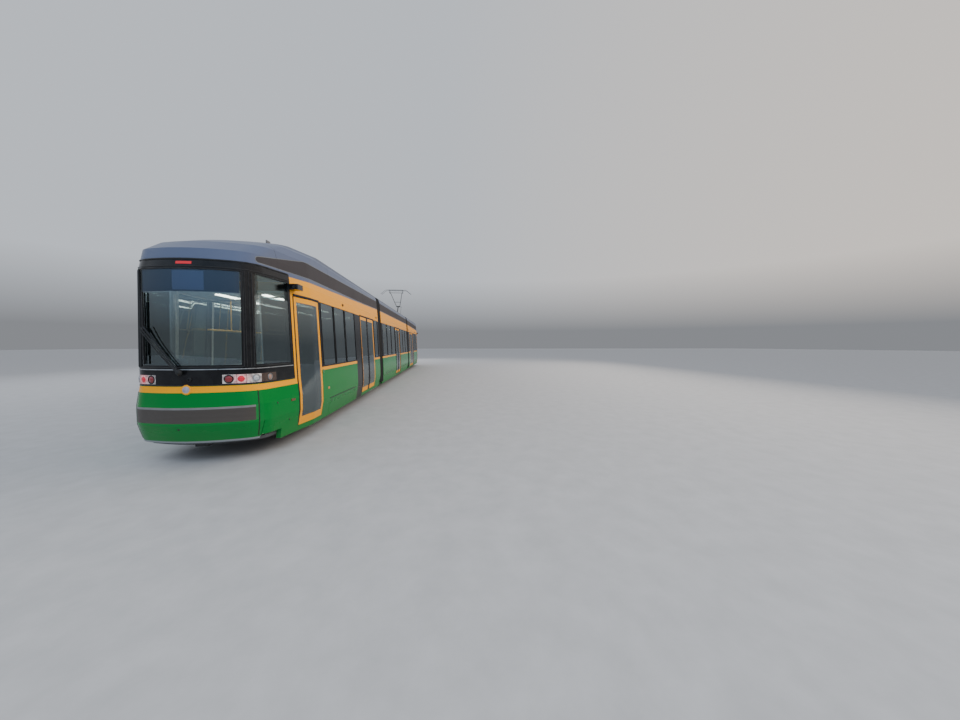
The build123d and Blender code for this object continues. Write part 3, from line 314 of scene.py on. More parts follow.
# Window rubbers: extruded black seals in the joints round the glued side panes.
# They are pressed in after the panes and stand just proud of them.
WINDOW_Z = (1.425, 2.805)
# x from and x to of the panes, on the door side (-1) and on the blind side (1)
PANES = {
    "rear": (
        (-1, ((-11.43, -10.60), (-10.54, -9.72), (-9.66, -8.70), (-6.03, -5.36))),
        (1, ((-12.52, -11.48), (-11.42, -10.00), (-9.94, -8.56), (-8.50, -7.00), (-6.94, -5.36)))),
    "middle": (
        (-1, ((-4.34, -3.30), (-3.24, -2.15), (-2.09, -0.92), (0.92, 2.09), (2.15, 3.24),
              (3.30, 4.34))),
        (1, ((-4.34, -3.30), (-3.24, -2.15), (-2.09, -0.92), (-0.70, 0.70), (0.92, 2.09),
             (2.15, 3.24), (3.30, 4.34)))),
}
WALL_BENDS = (0.655, 0.93, 1.255)       # heights at which the wall's slope changes
seal_rubber = uneven("seal_rubber", (0.006, 0.006, 0.007), (0.018, 0.018, 0.018), 12.0, 0.42, 0.0004)


def skin(owner, *parts):
    """The faces of some nodes of the frame, to lay pieces on."""
    bm = bmesh.new()
    for part in parts:
        bm.from_mesh(nodes[owner + part].data)
    return BVHTree.FromBMesh(bm)


WALLS = ("_car_body", "_skirts", "_doors", "_side_glass")
side_skins = {section: skin(section, *WALLS) for section in SECTIONS}


def met(faces, start, way):
    """Where a ray meets some faces, and the way that they look there, back along the ray."""
    way = Vector(way)
    place, normal = faces.ray_cast(Vector(start), way)[:2]
    if place is None:
        return None, -way
    return place, -normal if normal.dot(way) > 0 else normal


def on_side(section, x, z, side, out=0.0):
    """The point of a section's outer wall at x and z, moved out from the wall."""
    place, normal = met(side_skins[section], (x, side * 3.0, z), (0, -side, 0))
    if place is None:
        return Vector((x, side * 1.19, z))
    return place + normal * out


def bead(bm, points, radius, closed=False, segments=8):
    """A round strip that follows some points."""
    points = [Vector(point) for point in points]
    count = len(points)
    loops = []
    for i, point in enumerate(points):
        before = points[i - 1] if closed or i else point
        after = points[(i + 1) % count] if closed or i < count - 1 else point
        turn = (after - before).to_track_quat("Z", "Y").to_matrix().to_4x4()
        matrix = Matrix.Translation(point) @ turn
        cap = not closed and i in (0, count - 1)
        ring = bmesh.ops.create_circle(bm, cap_ends=cap, segments=segments, radius=radius, matrix=matrix)
        verts = set(ring["verts"])
        edges = {edge for vert in verts for edge in vert.link_edges}
        loops.append([edge for edge in edges if set(edge.verts) <= verts])
    pairs = list(zip(loops, loops[1:]))
    if closed:
        pairs.append((loops[-1], loops[0]))
    for first, second in pairs:
        bmesh.ops.bridge_loops(bm, edges=first + second)


def piece_of(name, bm, material, body, sharp=0.6):
    """Makes a piece of a bmesh: faces outwards and smooth, with its sharp edges kept."""
    bmesh.ops.remove_doubles(bm, verts=bm.verts, dist=0.00002)
    bmesh.ops.recalc_face_normals(bm, faces=bm.faces)
    for face in bm.faces:
        face.smooth = True
    for edge in bm.edges:
        edge.smooth = edge.calc_face_angle(0.0) < sharp
    mesh = bpy.data.meshes.new(name)
    bm.to_mesh(mesh)
    bm.free()
    mesh.materials.append(material)
    piece = bpy.data.objects.new(name, mesh)
    bpy.context.scene.collection.objects.link(piece)
    if body:
        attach(piece, body)
    return piece


def section_piece(section, name, bm, material, sharp=0.6):
    return piece_of(section + "_" + name, bm, material, section + "_section", sharp)


def at_both_ends(name, draw, material, slot, *details):
    """A piece drawn at the trailing end, and its mirror image at the leading end."""
    for section, flip in zip(ENDS, (1, -1)):
        bm = bmesh.new()
        draw(bm, *details)
        bmesh.ops.scale(bm, vec=(flip, 1, 1), verts=bm.verts)
        section_piece(section, name, bm, material)


def in_every_section(name, draw, material, slot):
    """The same, and one drawn for the middle section."""
    at_both_ends(name, draw, material, slot, "rear")
    bm = bmesh.new()
    draw(bm, "middle")
    section_piece("middle", name, bm, material)


def seal_round(bm, section, side, low_x, high_x, low_z, high_z, radius, out=0.002):
    """A seal round an opening or leaf in a side wall."""
    heights = [low_z] + [z for z in WALL_BENDS if low_z < z < high_z] + [high_z]
    corners = [(low_x, z) for z in heights] + [(high_x, z) for z in reversed(heights)]
    bead(bm, [on_side(section, x, z, side, out) for x, z in corners], radius, closed=True)


def window_rubbers(bm, section):
    for side, panes in PANES[section]:
        for low_x, high_x in panes:
            seal_round(bm, section, side, low_x + 0.004, high_x - 0.004, *WINDOW_Z, 0.008)


in_every_section("window_rubbers", window_rubbers, seal_rubber, "bellows_rubber")

# Door leaves: aluminium frames round tall panes, yellow outside, with black finger guards
# where two leaves meet. They plug outwards and then slide, so they carry no hinge.
DOUBLE_MEETING = 7.10       # where the leaves of a double door meet
MEETING_HALF = 0.105
door_paint = Finish("door_paint", Specular_IOR_Level=0.15)
x, y, z = door_paint.parts_of("Object")
faces_x, faces_y, faces_z = door_paint.parts_of("Normal")
colour = door_paint.mix(faces_y > -0.2, YELLOW, LINING)
guard = ((x.size() - DOUBLE_MEETING).size() < MEETING_HALF).either(x.size() < MEETING_HALF)
colour = door_paint.mix(guard, colour, BLACK)
door_paint.feed("Base Color", weathered(door_paint, colour, z))
lacquer(door_paint, z, 0.2)
dress(door_paint.material, SECTIONS, "_doors")

# Door seals run round each leaf, over a black gutter. Each door has a round push button
# beside it, in a black surround with a lit ring.
LEAF_Z = (0.362, 2.776)
LEAVES = {"rear": ((-12.544, -11.556), (-8.044, -7.106), (-7.094, -6.156)),
          "middle": ((-0.794, -0.006), (0.006, 0.794))}
GUTTERS = {"rear": ((-12.544, -12.0, -11.556), (-8.044, -6.156)), "middle": ((-0.794, 0.794),)}
GUTTER_Z = 2.812
BUTTON = ((0.0, 0.010), (0.018, 0.009), (0.021, 0.004), (0.026, 0.004), (0.028, 0.014),
          (0.040, 0.013), (0.044, 0.004), (0.044, -0.010), (0.0, -0.010))
BUTTONS = {"rear": (-11.50, -6.09), "middle": (0.86,)}
BUTTON_Z = 1.30
button_green = uneven("button_finish", (0.02, 0.16, 0.05), (0.03, 0.24, 0.08), 30.0, 0.25,
                      Coat_Weight=0.5)


def lathe(bm, profile, place, facing, steps=24):
    """Turns points given as radius and height about an axis through a place."""
    facing = Vector(facing).normalized()
    across = facing.orthogonal().normalized()
    verts = [bm.verts.new(Vector(place) + across * r + facing * h) for r, h in profile]
    edges = [bm.edges.new(pair) for pair in zip(verts, verts[1:])]
    bmesh.ops.spin(bm, geom=verts + edges, cent=Vector(place), axis=facing, angle=math.tau,
                   steps=steps, use_merge=True)


def door_seals(bm, section):
    for low_x, high_x in LEAVES[section]:
        seal_round(bm, section, -1, low_x, high_x, *LEAF_Z, 0.017, 0.0)
    for places in GUTTERS[section]:
        bead(bm, [on_side(section, x, GUTTER_Z, -1, 0.004) for x in places], 0.018)


def turned_on_side(bm, profile, section, x, z, side, steps):
    """A turned fitting that stands straight out from a side."""
    lathe(bm, profile, on_side(section, x, z, side), (0, side, 0), steps)


def push_buttons(bm, section):
    for x in BUTTONS[section]:
        turned_on_side(bm, BUTTON, section, x, BUTTON_Z, -1, 20)


in_every_section("door_seals", door_seals, seal_rubber, "bellows_rubber")
in_every_section("door_buttons", push_buttons, button_green, "bumper_plastic")

# Skirt fittings: quarter-turn locks and a shadowed joint over each bogie cover, side marker
# lamps and reflectors. The covers lift off for work on the bogies.
BOGIE_X = (-10.05, -2.8, 2.8, 10.05)
OVER_BOGIES = {"rear": BOGIE_X[:1], "middle": BOGIE_X[1:3]}
COVER_HALF = 1.055
COVER_TOP_Z = 0.655
LOCK = ((0.0, 0.003), (0.006, 0.003), (0.008, 0.0), (0.012, 0.004), (0.018, 0.004),
        (0.020, -0.004), (0.0, -0.004))
LOCK_PLACES = ((-0.935, 0.585), (0.0, 0.585), (0.935, 0.585), (-0.5, 0.35), (0.5, 0.35))
# x from and to, z from and to, distance out from the wall, thickness, divisions
REFLECTOR = ((-11.24, -11.15), (0.88, 0.93), 0.004, 0.006, (2, 2))
MARKER = ((-12.805, -12.695), (0.860, 0.896), 0.012, 0.014, (4, 2))
lock_metal = uneven("lock_metal", (0.10, 0.10, 0.10), (0.20, 0.20, 0.20), 20.0, 0.35, Metallic=0.8)
amber = uneven("amber_reflector", (0.55, 0.17, 0.01), (0.75, 0.26, 0.01), 40.0, 0.12, 0.0006,
               Coat_Weight=0.8)
smoked = uneven("smoked_lens", (0.10, 0.035, 0.015), (0.22, 0.085, 0.045), 40.0, 0.12, 0.0006)


def sheet_of(bm, place, across, up, thickness, cuts):
    """A thin plate laid where place(u, v) says, between two values of u and of v."""
    verts = bmesh.ops.create_grid(bm, x_segments=cuts[0], y_segments=cuts[1], size=1)["verts"]
    for vert in verts:
        u = across[0] + (across[1] - across[0]) * (vert.co.x + 1) / 2
        v = up[0] + (up[1] - up[0]) * (vert.co.y + 1) / 2
        vert.co = place(u, v)
    faces = list({face for vert in verts for face in vert.link_faces})
    bmesh.ops.recalc_face_normals(bm, faces=faces)
    bmesh.ops.solidify(bm, geom=faces, thickness=thickness)


def cover_locks(bm, section):
    for bogie_x in OVER_BOGIES[section]:
        for side in (-1, 1):
            for away, z in LOCK_PLACES:
                turned_on_side(bm, LOCK, section, bogie_x + away, z, side, 12)


def cover_joints(bm, section):
    for bogie_x in OVER_BOGIES[section]:
        for side in (-1, 1):
            ends = (bogie_x - COVER_HALF, bogie_x + COVER_HALF)
            bead(bm, [on_side(section, x, COVER_TOP_Z, side, -0.002) for x in ends], 0.011)


def side_plates(bm, along, up, out, thickness, cuts):
    for side in (-1, 1):
        sheet_of(bm, lambda x, z: on_side("rear", x, z, side, out), along, up, thickness, cuts)


in_every_section("cover_locks", cover_locks, lock_metal, "bogie_paint")
in_every_section("cover_joints", cover_joints, seal_rubber, "bellows_rubber")
at_both_ends("side_reflectors", side_plates, amber, "lamp_lens", *REFLECTOR)
at_both_ends("marker_lamps", side_plates, smoked, "lamp_lens", *MARKER)

# End shells: moulded glass-fibre caps bolted over the crash frame, green with the yellow stripe.
# The lower lip is a light grey moulding.
LIP_TOP = 0.400
LIP_GREY = (0.26, 0.28, 0.29, 1)
nose_paint = Finish("nose_paint", Specular_IOR_Level=0.22)
x, y, z = nose_paint.parts_of("Object")
colour = nose_paint.mix(z.between(*END_STRIPE), GREEN, YELLOW)
colour = nose_paint.mix(z < LIP_TOP, colour, LIP_GREY)
nose_paint.feed("Base Color", weathered(nose_paint, colour, z))
lacquer(nose_paint, z)
dress(nose_paint.material, ENDS, "_nose_shell")

# Bumper: a thick plastic skin across each end, grained, with a painted highlight in patches
# along its top edge and two shallow ribs along its face.
BUMPER_Z = (0.690, 0.930)
BUMPER_END = 0.868          # its skin is painted green past here
HIGHLIGHT_EDGE = 0.032           # height of the painted highlight strip along its top
RIB_WAVE = 78.0             # two ribs over its height
bumper_plastic = Finish("bumper_plastic")
x, y, z = bumper_plastic.parts_of("Object")
# Painted highlight: the top edge is painted a lighter grey in patches, where light falls on it.
top_highlight = (z > BUMPER_Z[1] - HIGHLIGHT_EDGE) * (0.55 + bumper_plastic.noise(9.0) * 0.6)
colour = bumper_plastic.mix(top_highlight, (0.060, 0.050, 0.042, 1), (0.22, 0.22, 0.22, 1))
colour = bumper_plastic.mix(y.size() > BUMPER_END, colour, GREEN)
bumper_plastic.feed("Base Color", weathered(bumper_plastic, colour, z))
bumper_plastic.feed("Roughness", 0.36 + bumper_plastic.noise(14.0) * 0.25)
ribs = ((z - BUMPER_Z[0]) * RIB_WAVE).wave()
bumper_plastic.bump(ribs * 0.3 + bumper_plastic.noise(420.0, 2.0) * 0.1, 0.5, 0.004)
dress(bumper_plastic.material, ENDS, "_bumper")

# Black end frame: a moulding round the screen that also holds the lamps, in gloss black.
# Rubber mouldings run round it over and under the glass, and a bright one under the screen.
frame_black = Finish("frame_black", Specular_IOR_Level=0.3)
frame_patches = frame_black.noise(6.0)
worn_black = frame_black.ramp(frame_patches, 0.3, 0.7, BLACK, (0.012, 0.012, 0.013, 1))
frame_black.feed("Base Color", worn_black)
frame_black.feed("Roughness", 0.12 + frame_patches * 0.16)
dress(frame_black.material, ENDS, "_window_frame")

END_PARTS = ("_nose_shell", "_bumper", "_window_frame", "_end_glass", "_lamps_and_wiper", "_roof",
             "_car_body")
end_skin = skin("rear", *END_PARTS)
ROUND_X = -12.62            # the end's faces are met from points round this x


def end_face(y, z):
    """The place on the trailing end's face at y and z, and the way that it looks there."""
    return met(end_skin, (-20.0, y, z), (1, 0, 0))


def on_end(y, z, out=0.0):
    place, normal = end_face(y, z)
    return place + normal * out


def round_end(degrees, z, out=0.0):
    """The point of the end's wrap-round face at an angle from straight back."""
    angle = math.radians(degrees)
    away = Vector((-math.cos(angle), math.sin(angle), 0))
    place, normal = met(end_skin, Vector((ROUND_X, 0, z)) + away * 3.0, -away)
    return place + normal * out


def spread(first, last, count):
    """Even steps from one value to another."""
    return [first + (last - first) * i / count for i in range(count + 1)]


ANGLES = range(-88, 89, 8)
BAND_RUBBERS = ((3.158, 0.013), (3.045, 0.009), (1.262, 0.008))     # height and radius
SCREEN_HALF = 0.745
SCREEN_Z = (1.531, 3.020)
SCREEN_SIDES = (SCREEN_Z[0], 2.0, 2.5, SCREEN_Z[1])                 # heights of a strip's points
SCREEN_TOP = (-0.72, -0.5, -0.25, 0.0, 0.25, 0.5, 0.72)
QUARTER_ANGLES = (43.0, 86.5)
POST_ANGLES = (38.4, 41.0)
END_JOINT = 44.6            # the end shell meets the sides here, below the band
END_JOINT_Z = (0.42, 1.150)
MOULDING_Z = 1.502


def end_rubbers(bm):
    for z, radius in BAND_RUBBERS:
        bead(bm, [round_end(angle, z, 0.002) for angle in ANGLES], radius)
    ring = [(-SCREEN_HALF + 0.006, z) for z in SCREEN_SIDES]
    ring += [(y, SCREEN_Z[1] - 0.006) for y in SCREEN_TOP]
    ring += [(SCREEN_HALF - 0.006, z) for z in reversed(SCREEN_SIDES)]
    ring += [(y, SCREEN_Z[0] + 0.006) for y in reversed(SCREEN_TOP)]
    bead(bm, [on_end(y, z, 0.001) for y, z in ring], 0.010, closed=True)
    for side in (-1, 1):
        arc = [side * angle for angle in spread(*QUARTER_ANGLES, 8)]
        ring = [(angle, SCREEN_Z[1] - 0.010) for angle in arc]
        ring += [(angle, SCREEN_Z[0] + 0.010) for angle in reversed(arc)]
        bead(bm, [round_end(angle, z, 0.001) for angle, z in ring], 0.009, closed=True)


def end_joints(bm):
    """Shadowed joints between the end shell and the sides, and strips on the screen's posts."""
    for side in (-1, 1):
        seam = [round_end(side * END_JOINT, z, -0.005) for z in spread(*END_JOINT_Z, 24)]
        bead(bm, seam, 0.010)
        for angle in POST_ANGLES:
            bead(bm, [round_end(side * angle, z, 0.001) for z in SCREEN_SIDES], 0.007)


def bright_moulding(bm):
    bead(bm, [round_end(angle, MOULDING_Z, 0.002) for angle in ANGLES], 0.009)


bright_metal = uneven("bright_moulding", (0.30, 0.31, 0.32), (0.48, 0.49, 0.50), 8.0, 0.22,
                      Metallic=0.9)
at_both_ends("end_rubbers", end_rubbers, seal_rubber, "bellows_rubber")
at_both_ends("end_joints", end_joints, seal_rubber, "bellows_rubber")
at_both_ends("screen_moulding", bright_moulding, bright_metal, "wheel_steel")

# Glass: toughened and tinted panes glued flush into the shells, black round their edges.
# A thin metal film in them mirrors the light.
MIRROR = (0.60, 0.69, 0.71, 1)
SIGN_Z = (2.675, 3.012)     # the screen mirrors less before the sign box
PRINT = 0.035               # width of the black print round the screen


def tinted_glass(name, tint, least, print_edge=None):
    """See-through tint under a mirror finish; print_edge gives the share printed black."""
    finish = Finish(name, Roughness=0.02, Metallic=1.0, Base_Color=MIRROR)
    clear = finish.add("ShaderNodeBsdfTransparent", {}, {"Color": tint})
    facing = finish.add("ShaderNodeLayerWeight", {}, {"Blend": 0.30}, "Fresnel")
    solid = (least + facing * 0.75).at_most(1.0)
    if print_edge is not None:
        x, y, z = finish.parts_of("Object")
        solid = solid * (1 - (z > SIGN_Z[0]) * 0.72)
        printed = print_edge(finish)
        finish.feed("Base Color", finish.mix(printed, MIRROR, BLACK))
        finish.feed("Metallic", 1 - printed)
        solid = solid.either(printed)
    output = finish.tree.nodes["Material Output"]
    shader = Signal(finish, finish.shader.outputs[0])
    mixed = finish.add("ShaderNodeMixShader", {}, {0: solid, 1: clear, 2: shader})
    finish.tree.links.new(mixed.socket, output.inputs["Surface"])
    return finish.material


def screen_print(finish):
    x, y, z = finish.parts_of("Object")
    sides = y.size().between(SCREEN_HALF - PRINT, SCREEN_HALF + 0.1)
    ends = 1 - z.between(SCREEN_Z[0] + PRINT, SCREEN_Z[1] - PRINT * 0.5)
    return sides.either(ends)


end_glass = tinted_glass("end_glass", (0.80, 0.87, 0.86, 1), 0.22, screen_print)
side_glass = tinted_glass("side_glass", (0.62, 0.70, 0.68, 1), 0.22)
dress(end_glass, ENDS, "_end_glass")
dress(side_glass, SECTIONS, "_side_glass")

# Sign boxes: blank displays behind the top of both screens, in a dark blue housing.
# The display is off, yet it and its housing are given a faint painted blue glow.
SIGN_HALF = 0.70
SIGN_BACK = 0.045           # behind the face of the glass
DISPLAY_Y = (-0.26, 0.17)
DISPLAY_Z = (2.70, 2.985)
DOT_WAVE = 340.0            # the display's lamps lie in rows and columns
BLUE, DISPLAY_BLUE = (0.004, 0.010, 0.035, 1), (0.020, 0.036, 0.10, 1)
# Painted glow: the dark housing and the blank display glow faintly in blue, though no lamp in them is
# lit.
HOUSING_PAINTED_GLOW, DISPLAY_PAINTED_GLOW = (0.003, 0.006, 0.018, 1), (0.016, 0.028, 0.07, 1)
sign_blue = Finish("sign_box", Roughness=0.35, Emission_Strength=0.9)
x, y, z = sign_blue.parts_of("Object")
display = y.between(*DISPLAY_Y) * z.between(*DISPLAY_Z)
dots = (y * DOT_WAVE).wave() * (z * DOT_WAVE).wave()
display_dots = display * (0.8 + dots * 0.2)
sign_blue.feed("Base Color", sign_blue.mix(display_dots, BLUE, DISPLAY_BLUE))
sign_blue.feed("Emission Color", sign_blue.mix(display_dots, HOUSING_PAINTED_GLOW, DISPLAY_PAINTED_GLOW))


def sign_box(bm):
    across = (-SIGN_HALF, SIGN_HALF)
    sheet_of(bm, lambda y, z: on_end(y, z, -SIGN_BACK), across, SIGN_Z, 0.03, (16, 2))


at_both_ends("sign_box", sign_box, sign_blue.material, "cab_plastic")

# Lamps: one housing on each side of the black band, with round reflectors behind lenses.
# Red next to the screen, clear round the corner and amber behind it. In front, clear ones
# take the place of the red ones.
LAMP_Z = 1.3495
LAMP_BAND = (1.275, 1.425)
LAMP_START = 0.445          # the housing's inner edge
LAMP_Y = {"inner": 0.548, "middle": 0.700}
CORNER_ANGLE = 44.0
SIDE_LAMP_X = -13.27
BEHIND_CORNER_X = 13.440    # the housing is tinted brown from here towards the sides
HALO_R = 0.125              # how far the lamp's light is painted onto its housing as a glow
HIGH_LAMP_Z = (3.075, 3.125)
HIGH_LAMP_HALF = 0.115
FLUTE_WAVE = 240.0
lens = Finish("lamp_lens", Roughness=0.10, Specular_IOR_Level=0.6, Emission_Strength=0.7)
x, y, z = lens.parts_of("Object")
across = y.size()
in_band = z.between(*LAMP_BAND)
# The silver reflectors are painted pale pink: the red lamps' light on them is painted in, at both ends.
silver_and_painted_lamp_light = lens.ramp(lens.noise(26.0, 2.0), 0.35, 0.65, (0.30, 0.25, 0.24, 1), (0.72, 0.64, 0.60, 1))
colour = lens.mix(in_band * (across > LAMP_START), BLACK, silver_and_painted_lamp_light)
colour = lens.mix(in_band * (x.size() < BEHIND_CORNER_X), colour, (0.060, 0.036, 0.026, 1))
high_lamp = z.between(*HIGH_LAMP_Z) * (across < HIGH_LAMP_HALF) * (x < 0.0)
colour = lens.mix(high_lamp, colour, (0.45, 0.008, 0.010, 1))
lens.feed("Base Color", colour)
# Painted glow: the middle lamp's light is painted onto the housing round it, red at the trailing end and
# white at the leading end.
from_lamp = (across - LAMP_Y["middle"]).distance(z - LAMP_Z)
glow = in_band * (1 - from_lamp / HALO_R).at_least(0.0)
lamp_light = lens.mix(x > 0.0, (1.0, 0.02, 0.04, 1), (1.0, 0.94, 0.82, 1))
lens.feed("Emission Color", lens.mix(glow + high_lamp * 0.4, (0.0, 0.0, 0.0, 1), lamp_light))
flutes = (y * FLUTE_WAVE).wave() * (z * FLUTE_WAVE).wave() * in_band
lens.bump(flutes, 0.35, 0.002)
dress(lens.material, ENDS, "_lamps_and_wiper")

DOME = ((0.0, 0.014), (0.018, 0.0125), (0.034, 0.008), (0.043, 0.001), (0.043, -0.012),
        (0.0, -0.012))
BEZEL = ((0.044, -0.012), (0.044, 0.004), (0.047, 0.007), (0.054, 0.006), (0.058, -0.001),
         (0.058, -0.012), (0.044, -0.012))
DOME_STEPS, BEZEL_STEPS = 20, 24
LAMP_SHARE = {"inner": 1.15, "middle": 1.10, "corner": 1.05, "side": 0.95}
side_skins["rear"] = skin("rear", *END_PARTS, "_doors", "_skirts", "_side_glass")


def lamp_face(kind, side):
    """The middle of one of the four round lamps on a side, and the way that it looks."""
    if kind in LAMP_Y:
        return end_face(side * LAMP_Y[kind], LAMP_Z)
    if kind == "corner":
        place, beyond = [round_end(side * CORNER_ANGLE, LAMP_Z, out) for out in (0.0, 0.1)]
    else:
        place, beyond = [on_side("rear", SIDE_LAMP_X, LAMP_Z, side, out) for out in (0.0, 0.1)]
    return place, (beyond - place).normalized()


def lamp_parts(bm, profile, steps, *kinds):
    """The same turned part for some of the lamps, in each lamp's own size."""
    for side in (-1, 1):
        for kind in kinds:
            grown = [(r * LAMP_SHARE[kind], h) for r, h in profile]
            lathe(bm, grown, *lamp_face(kind, side), steps)


def end_lens(name, trailing, leading, glow):
    """Moulded lens: red at the trailing end and clear at the leading end."""
    glass = Finish(name, Roughness=0.08, Coat_Weight=1.0, Emission_Strength=glow)
    x, y, z = glass.parts_of("Object")
    colour = glass.mix(x > 0.0, (*trailing, 1), (*leading, 1))
    glass.feed("Base Color", glass.mix(glass.noise(60.0, 2.0) * 0.3, colour, BLACK))
    glass.feed("Emission Color", colour)
    return glass.material


inner_lens = end_lens("inner_lens", (0.26, 0.010, 0.012), (0.62, 0.65, 0.68), 0.0)
tail_lens = end_lens("tail_lens", (0.60, 0.001, 0.022), (0.86, 0.84, 0.78), 0.36)
clear_lens = uneven("clear_lens", (0.45, 0.47, 0.50), (0.70, 0.72, 0.75), 60.0, 0.05, 0.0006,
                    Coat_Weight=1.0, Metallic=0.5)
amber_lens = uneven("amber_lens", (0.30, 0.15, 0.10), (0.44, 0.24, 0.17), 60.0, 0.06, 0.0006,
                    Coat_Weight=1.0)
at_both_ends("lamp_bezels", lamp_parts, bright_metal, "wheel_steel",
             BEZEL, BEZEL_STEPS, "corner", "side")
at_both_ends("lamp_surrounds", lamp_parts, frame_black.material, "black_frame",
             BEZEL, BEZEL_STEPS, "inner")
at_both_ends("inner_lamps", lamp_parts, inner_lens, "lamp_lens", DOME, DOME_STEPS, "inner")
at_both_ends("tail_lamps", lamp_parts, tail_lens, "lamp_lens", DOME, DOME_STEPS, "middle")
at_both_ends("corner_lamps", lamp_parts, clear_lens, "lamp_lens", DOME, DOME_STEPS, "corner")
at_both_ends("turn_lamps", lamp_parts, amber_lens, "lamp_lens", DOME, DOME_STEPS, "side")

# Wiper: two parallel rods carry a blade that parks upright at the left edge of the screen.
# Pressed steel and rubber, painted black.
WIPER_HUB = (0.060, 1.465)
WIPER_RODS = (((0.115, 1.470), (0.655, 2.085)), (WIPER_HUB, (0.630, 2.145)))
ROD_OUT, ROD_RISE = 0.028, 0.020        # the rods stand further from the glass at the blade
BLADE_Y = 0.642
BLADE_Z = (1.59, 2.66)
HUB = ((0.0, 0.038), (0.018, 0.038), (0.024, 0.034), (0.032, 0.020), (0.045, 0.004),
       (0.045, -0.01), (0.0, -0.01))


def turned_on_end(bm, profile, y, z, steps):
    """A turned fitting on the face of the end."""
    lathe(bm, profile, *end_face(y, z), steps)


def wiper(bm):
    for (y, z), (end_y, end_z) in WIPER_RODS:
        steps = spread(0.0, 1.0, 5)
        path = [(y + (end_y - y) * s, z + (end_z - z) * s, ROD_OUT + ROD_RISE * s) for s in steps]
        bead(bm, [on_end(*point) for point in path], 0.009)
    heights = spread(*BLADE_Z, 8)
    bead(bm, [on_end(BLADE_Y, z, 0.012) for z in heights], 0.009)
    bead(bm, [on_end(BLADE_Y, z, 0.036) for z in heights[1:-1]], 0.007)
    for z in heights[1:-1:2]:
        bead(bm, [on_end(BLADE_Y, z, 0.010), on_end(BLADE_Y, z, 0.040)], 0.006)
    turned_on_end(bm, HUB, *WIPER_HUB, 18)


at_both_ends("wiper_linkage", wiper, seal_rubber, "black_frame")

# End disc and plugs: a plain round disc on the stripe, pressed from metal in a yellow ring.
# A socket sits in the black band over it, and rubber plugs close the holes for towing.
DISC_PLACE = (-0.005, 1.20)
DISC = ((0.0, 0.016), (0.046, 0.015), (0.051, 0.012), (0.053, -0.004), (0.0, -0.004))
RING = ((0.050, -0.010), (0.050, 0.013), (0.058, 0.015), (0.070, 0.011), (0.076, 0.002),
        (0.076, -0.010), (0.050, -0.010))
SOCKET_PLACE = (-0.05, 1.355)
SOCKET = ((0.0, 0.004), (0.016, 0.004), (0.018, 0.016), (0.030, 0.014), (0.034, 0.002),
          (0.034, -0.008), (0.0, -0.008))
TOW_PLUG_PLACE = (0.133, 0.597)
SIDE_PLUG_PLACES = ((-13.18, 0.893), (-12.84, 0.534))
PLUG = ((0.0, 0.004), (0.014, 0.004), (0.018, 0.0), (0.018, -0.006), (0.0, -0.006))
disc_metal = uneven("disc_metal", (0.34, 0.32, 0.40), (0.50, 0.48, 0.58), 30.0, 0.35, Metallic=0.4)
ring_yellow = uneven("ring_yellow", (0.84, 0.34, 0.002), YELLOW[:3], 14.0, 0.2)


def end_disc(bm, profile):
    turned_on_end(bm, profile, *DISC_PLACE, 32)


def end_plugs(bm):
    turned_on_end(bm, SOCKET, *SOCKET_PLACE, 20)
    turned_on_end(bm, PLUG, *TOW_PLUG_PLACE, 14)
    for x, z in SIDE_PLUG_PLACES:
        for side in (-1, 1):
            turned_on_side(bm, PLUG, "rear", x, z, side, 14)


at_both_ends("plain_disc", end_disc, disc_metal, "wheel_steel", DISC)
at_both_ends("disc_ring", end_disc, ring_yellow, "door_paint", RING)
at_both_ends("end_plugs", end_plugs, seal_rubber, "black_frame")

# Domes and cameras: small black lamp domes on the yellow band over the doors, and the lens of
# each side camera, in its pod beside the end's roof.
SIDE_DOME_X = (-9.79, -5.53)
SIDE_DOME_Z = 2.93
SIDE_DOME = ((0.0, 0.030), (0.018, 0.027), (0.030, 0.016), (0.034, 0.0), (0.034, -0.010),
             (0.0, -0.010))
LENS_X, LENS_Y, LENS_Z = -12.70, 1.12, 2.935
LENS = ((0.0, 0.003), (0.012, 0.007), (0.020, 0.010), (0.026, 0.010), (0.030, 0.002),
        (0.030, -0.006), (0.0, -0.006))


def side_domes(bm):
    for x in SIDE_DOME_X:
        for side in (-1, 1):
            turned_on_side(bm, SIDE_DOME, "rear", x, SIDE_DOME_Z, side, 16)


def camera_lenses(bm):
    for side in (-1, 1):
        lathe(bm, LENS, (LENS_X, side * LENS_Y, LENS_Z), (-1, 0, 0), 18)


at_both_ends("side_domes", side_domes, seal_rubber, "black_frame")
at_both_ends("camera_lenses", camera_lenses, seal_rubber, "black_frame")

# Roof fairings and end domes: glass-fibre panels in light grey over the yellow cantrail.
# Their grey is painted darker and bluer, as painted shade with the sky's reflection in it.
# A dark inset panel runs along each flank and ends in a rounded nose near the end.
# Painted shade and reflection: the light grey paint is set darker and bluer, as the roof looks in shade
# under the sky.
ROOF_GREY_IN_PAINTED_SHADE = (0.096, 0.118, 0.190, 1)
DECK_GREY = (0.055, 0.055, 0.055, 1)
DARK_GREY = (0.046, 0.040, 0.042, 1)
ROOF_START = 5.18           # section ends at the articulations; the lines fall away from there
BAND_HIGH, BAND_FALL = 3.275, 0.0207
INSET_LOW, INSET_LOW_FALL = 3.275, 0.0085
INSET_HIGH, INSET_HIGH_FALL = 3.607, 0.0134
INSET_BEND_X, INSET_BEND_FALL = 12.10, 0.160
INSET_NOSE_X = 13.36
INSET_LIP = 0.012
INSET_GAP = 0.028           # least distance of the inset from the yellow band
FLANK_Y = 0.60
TOP_Z = 3.72                # soot lies on the roof above this height
PANEL_PITCH = 2.15          # between the joints of the roof panels
JOINT_SHARE = 0.0035        # of the pitch
DECK_TOP = 3.30             # the deck and the inside of the well are dark grey
roof_paint = Finish("roof_paint", Specular_IOR_Level=0.25)
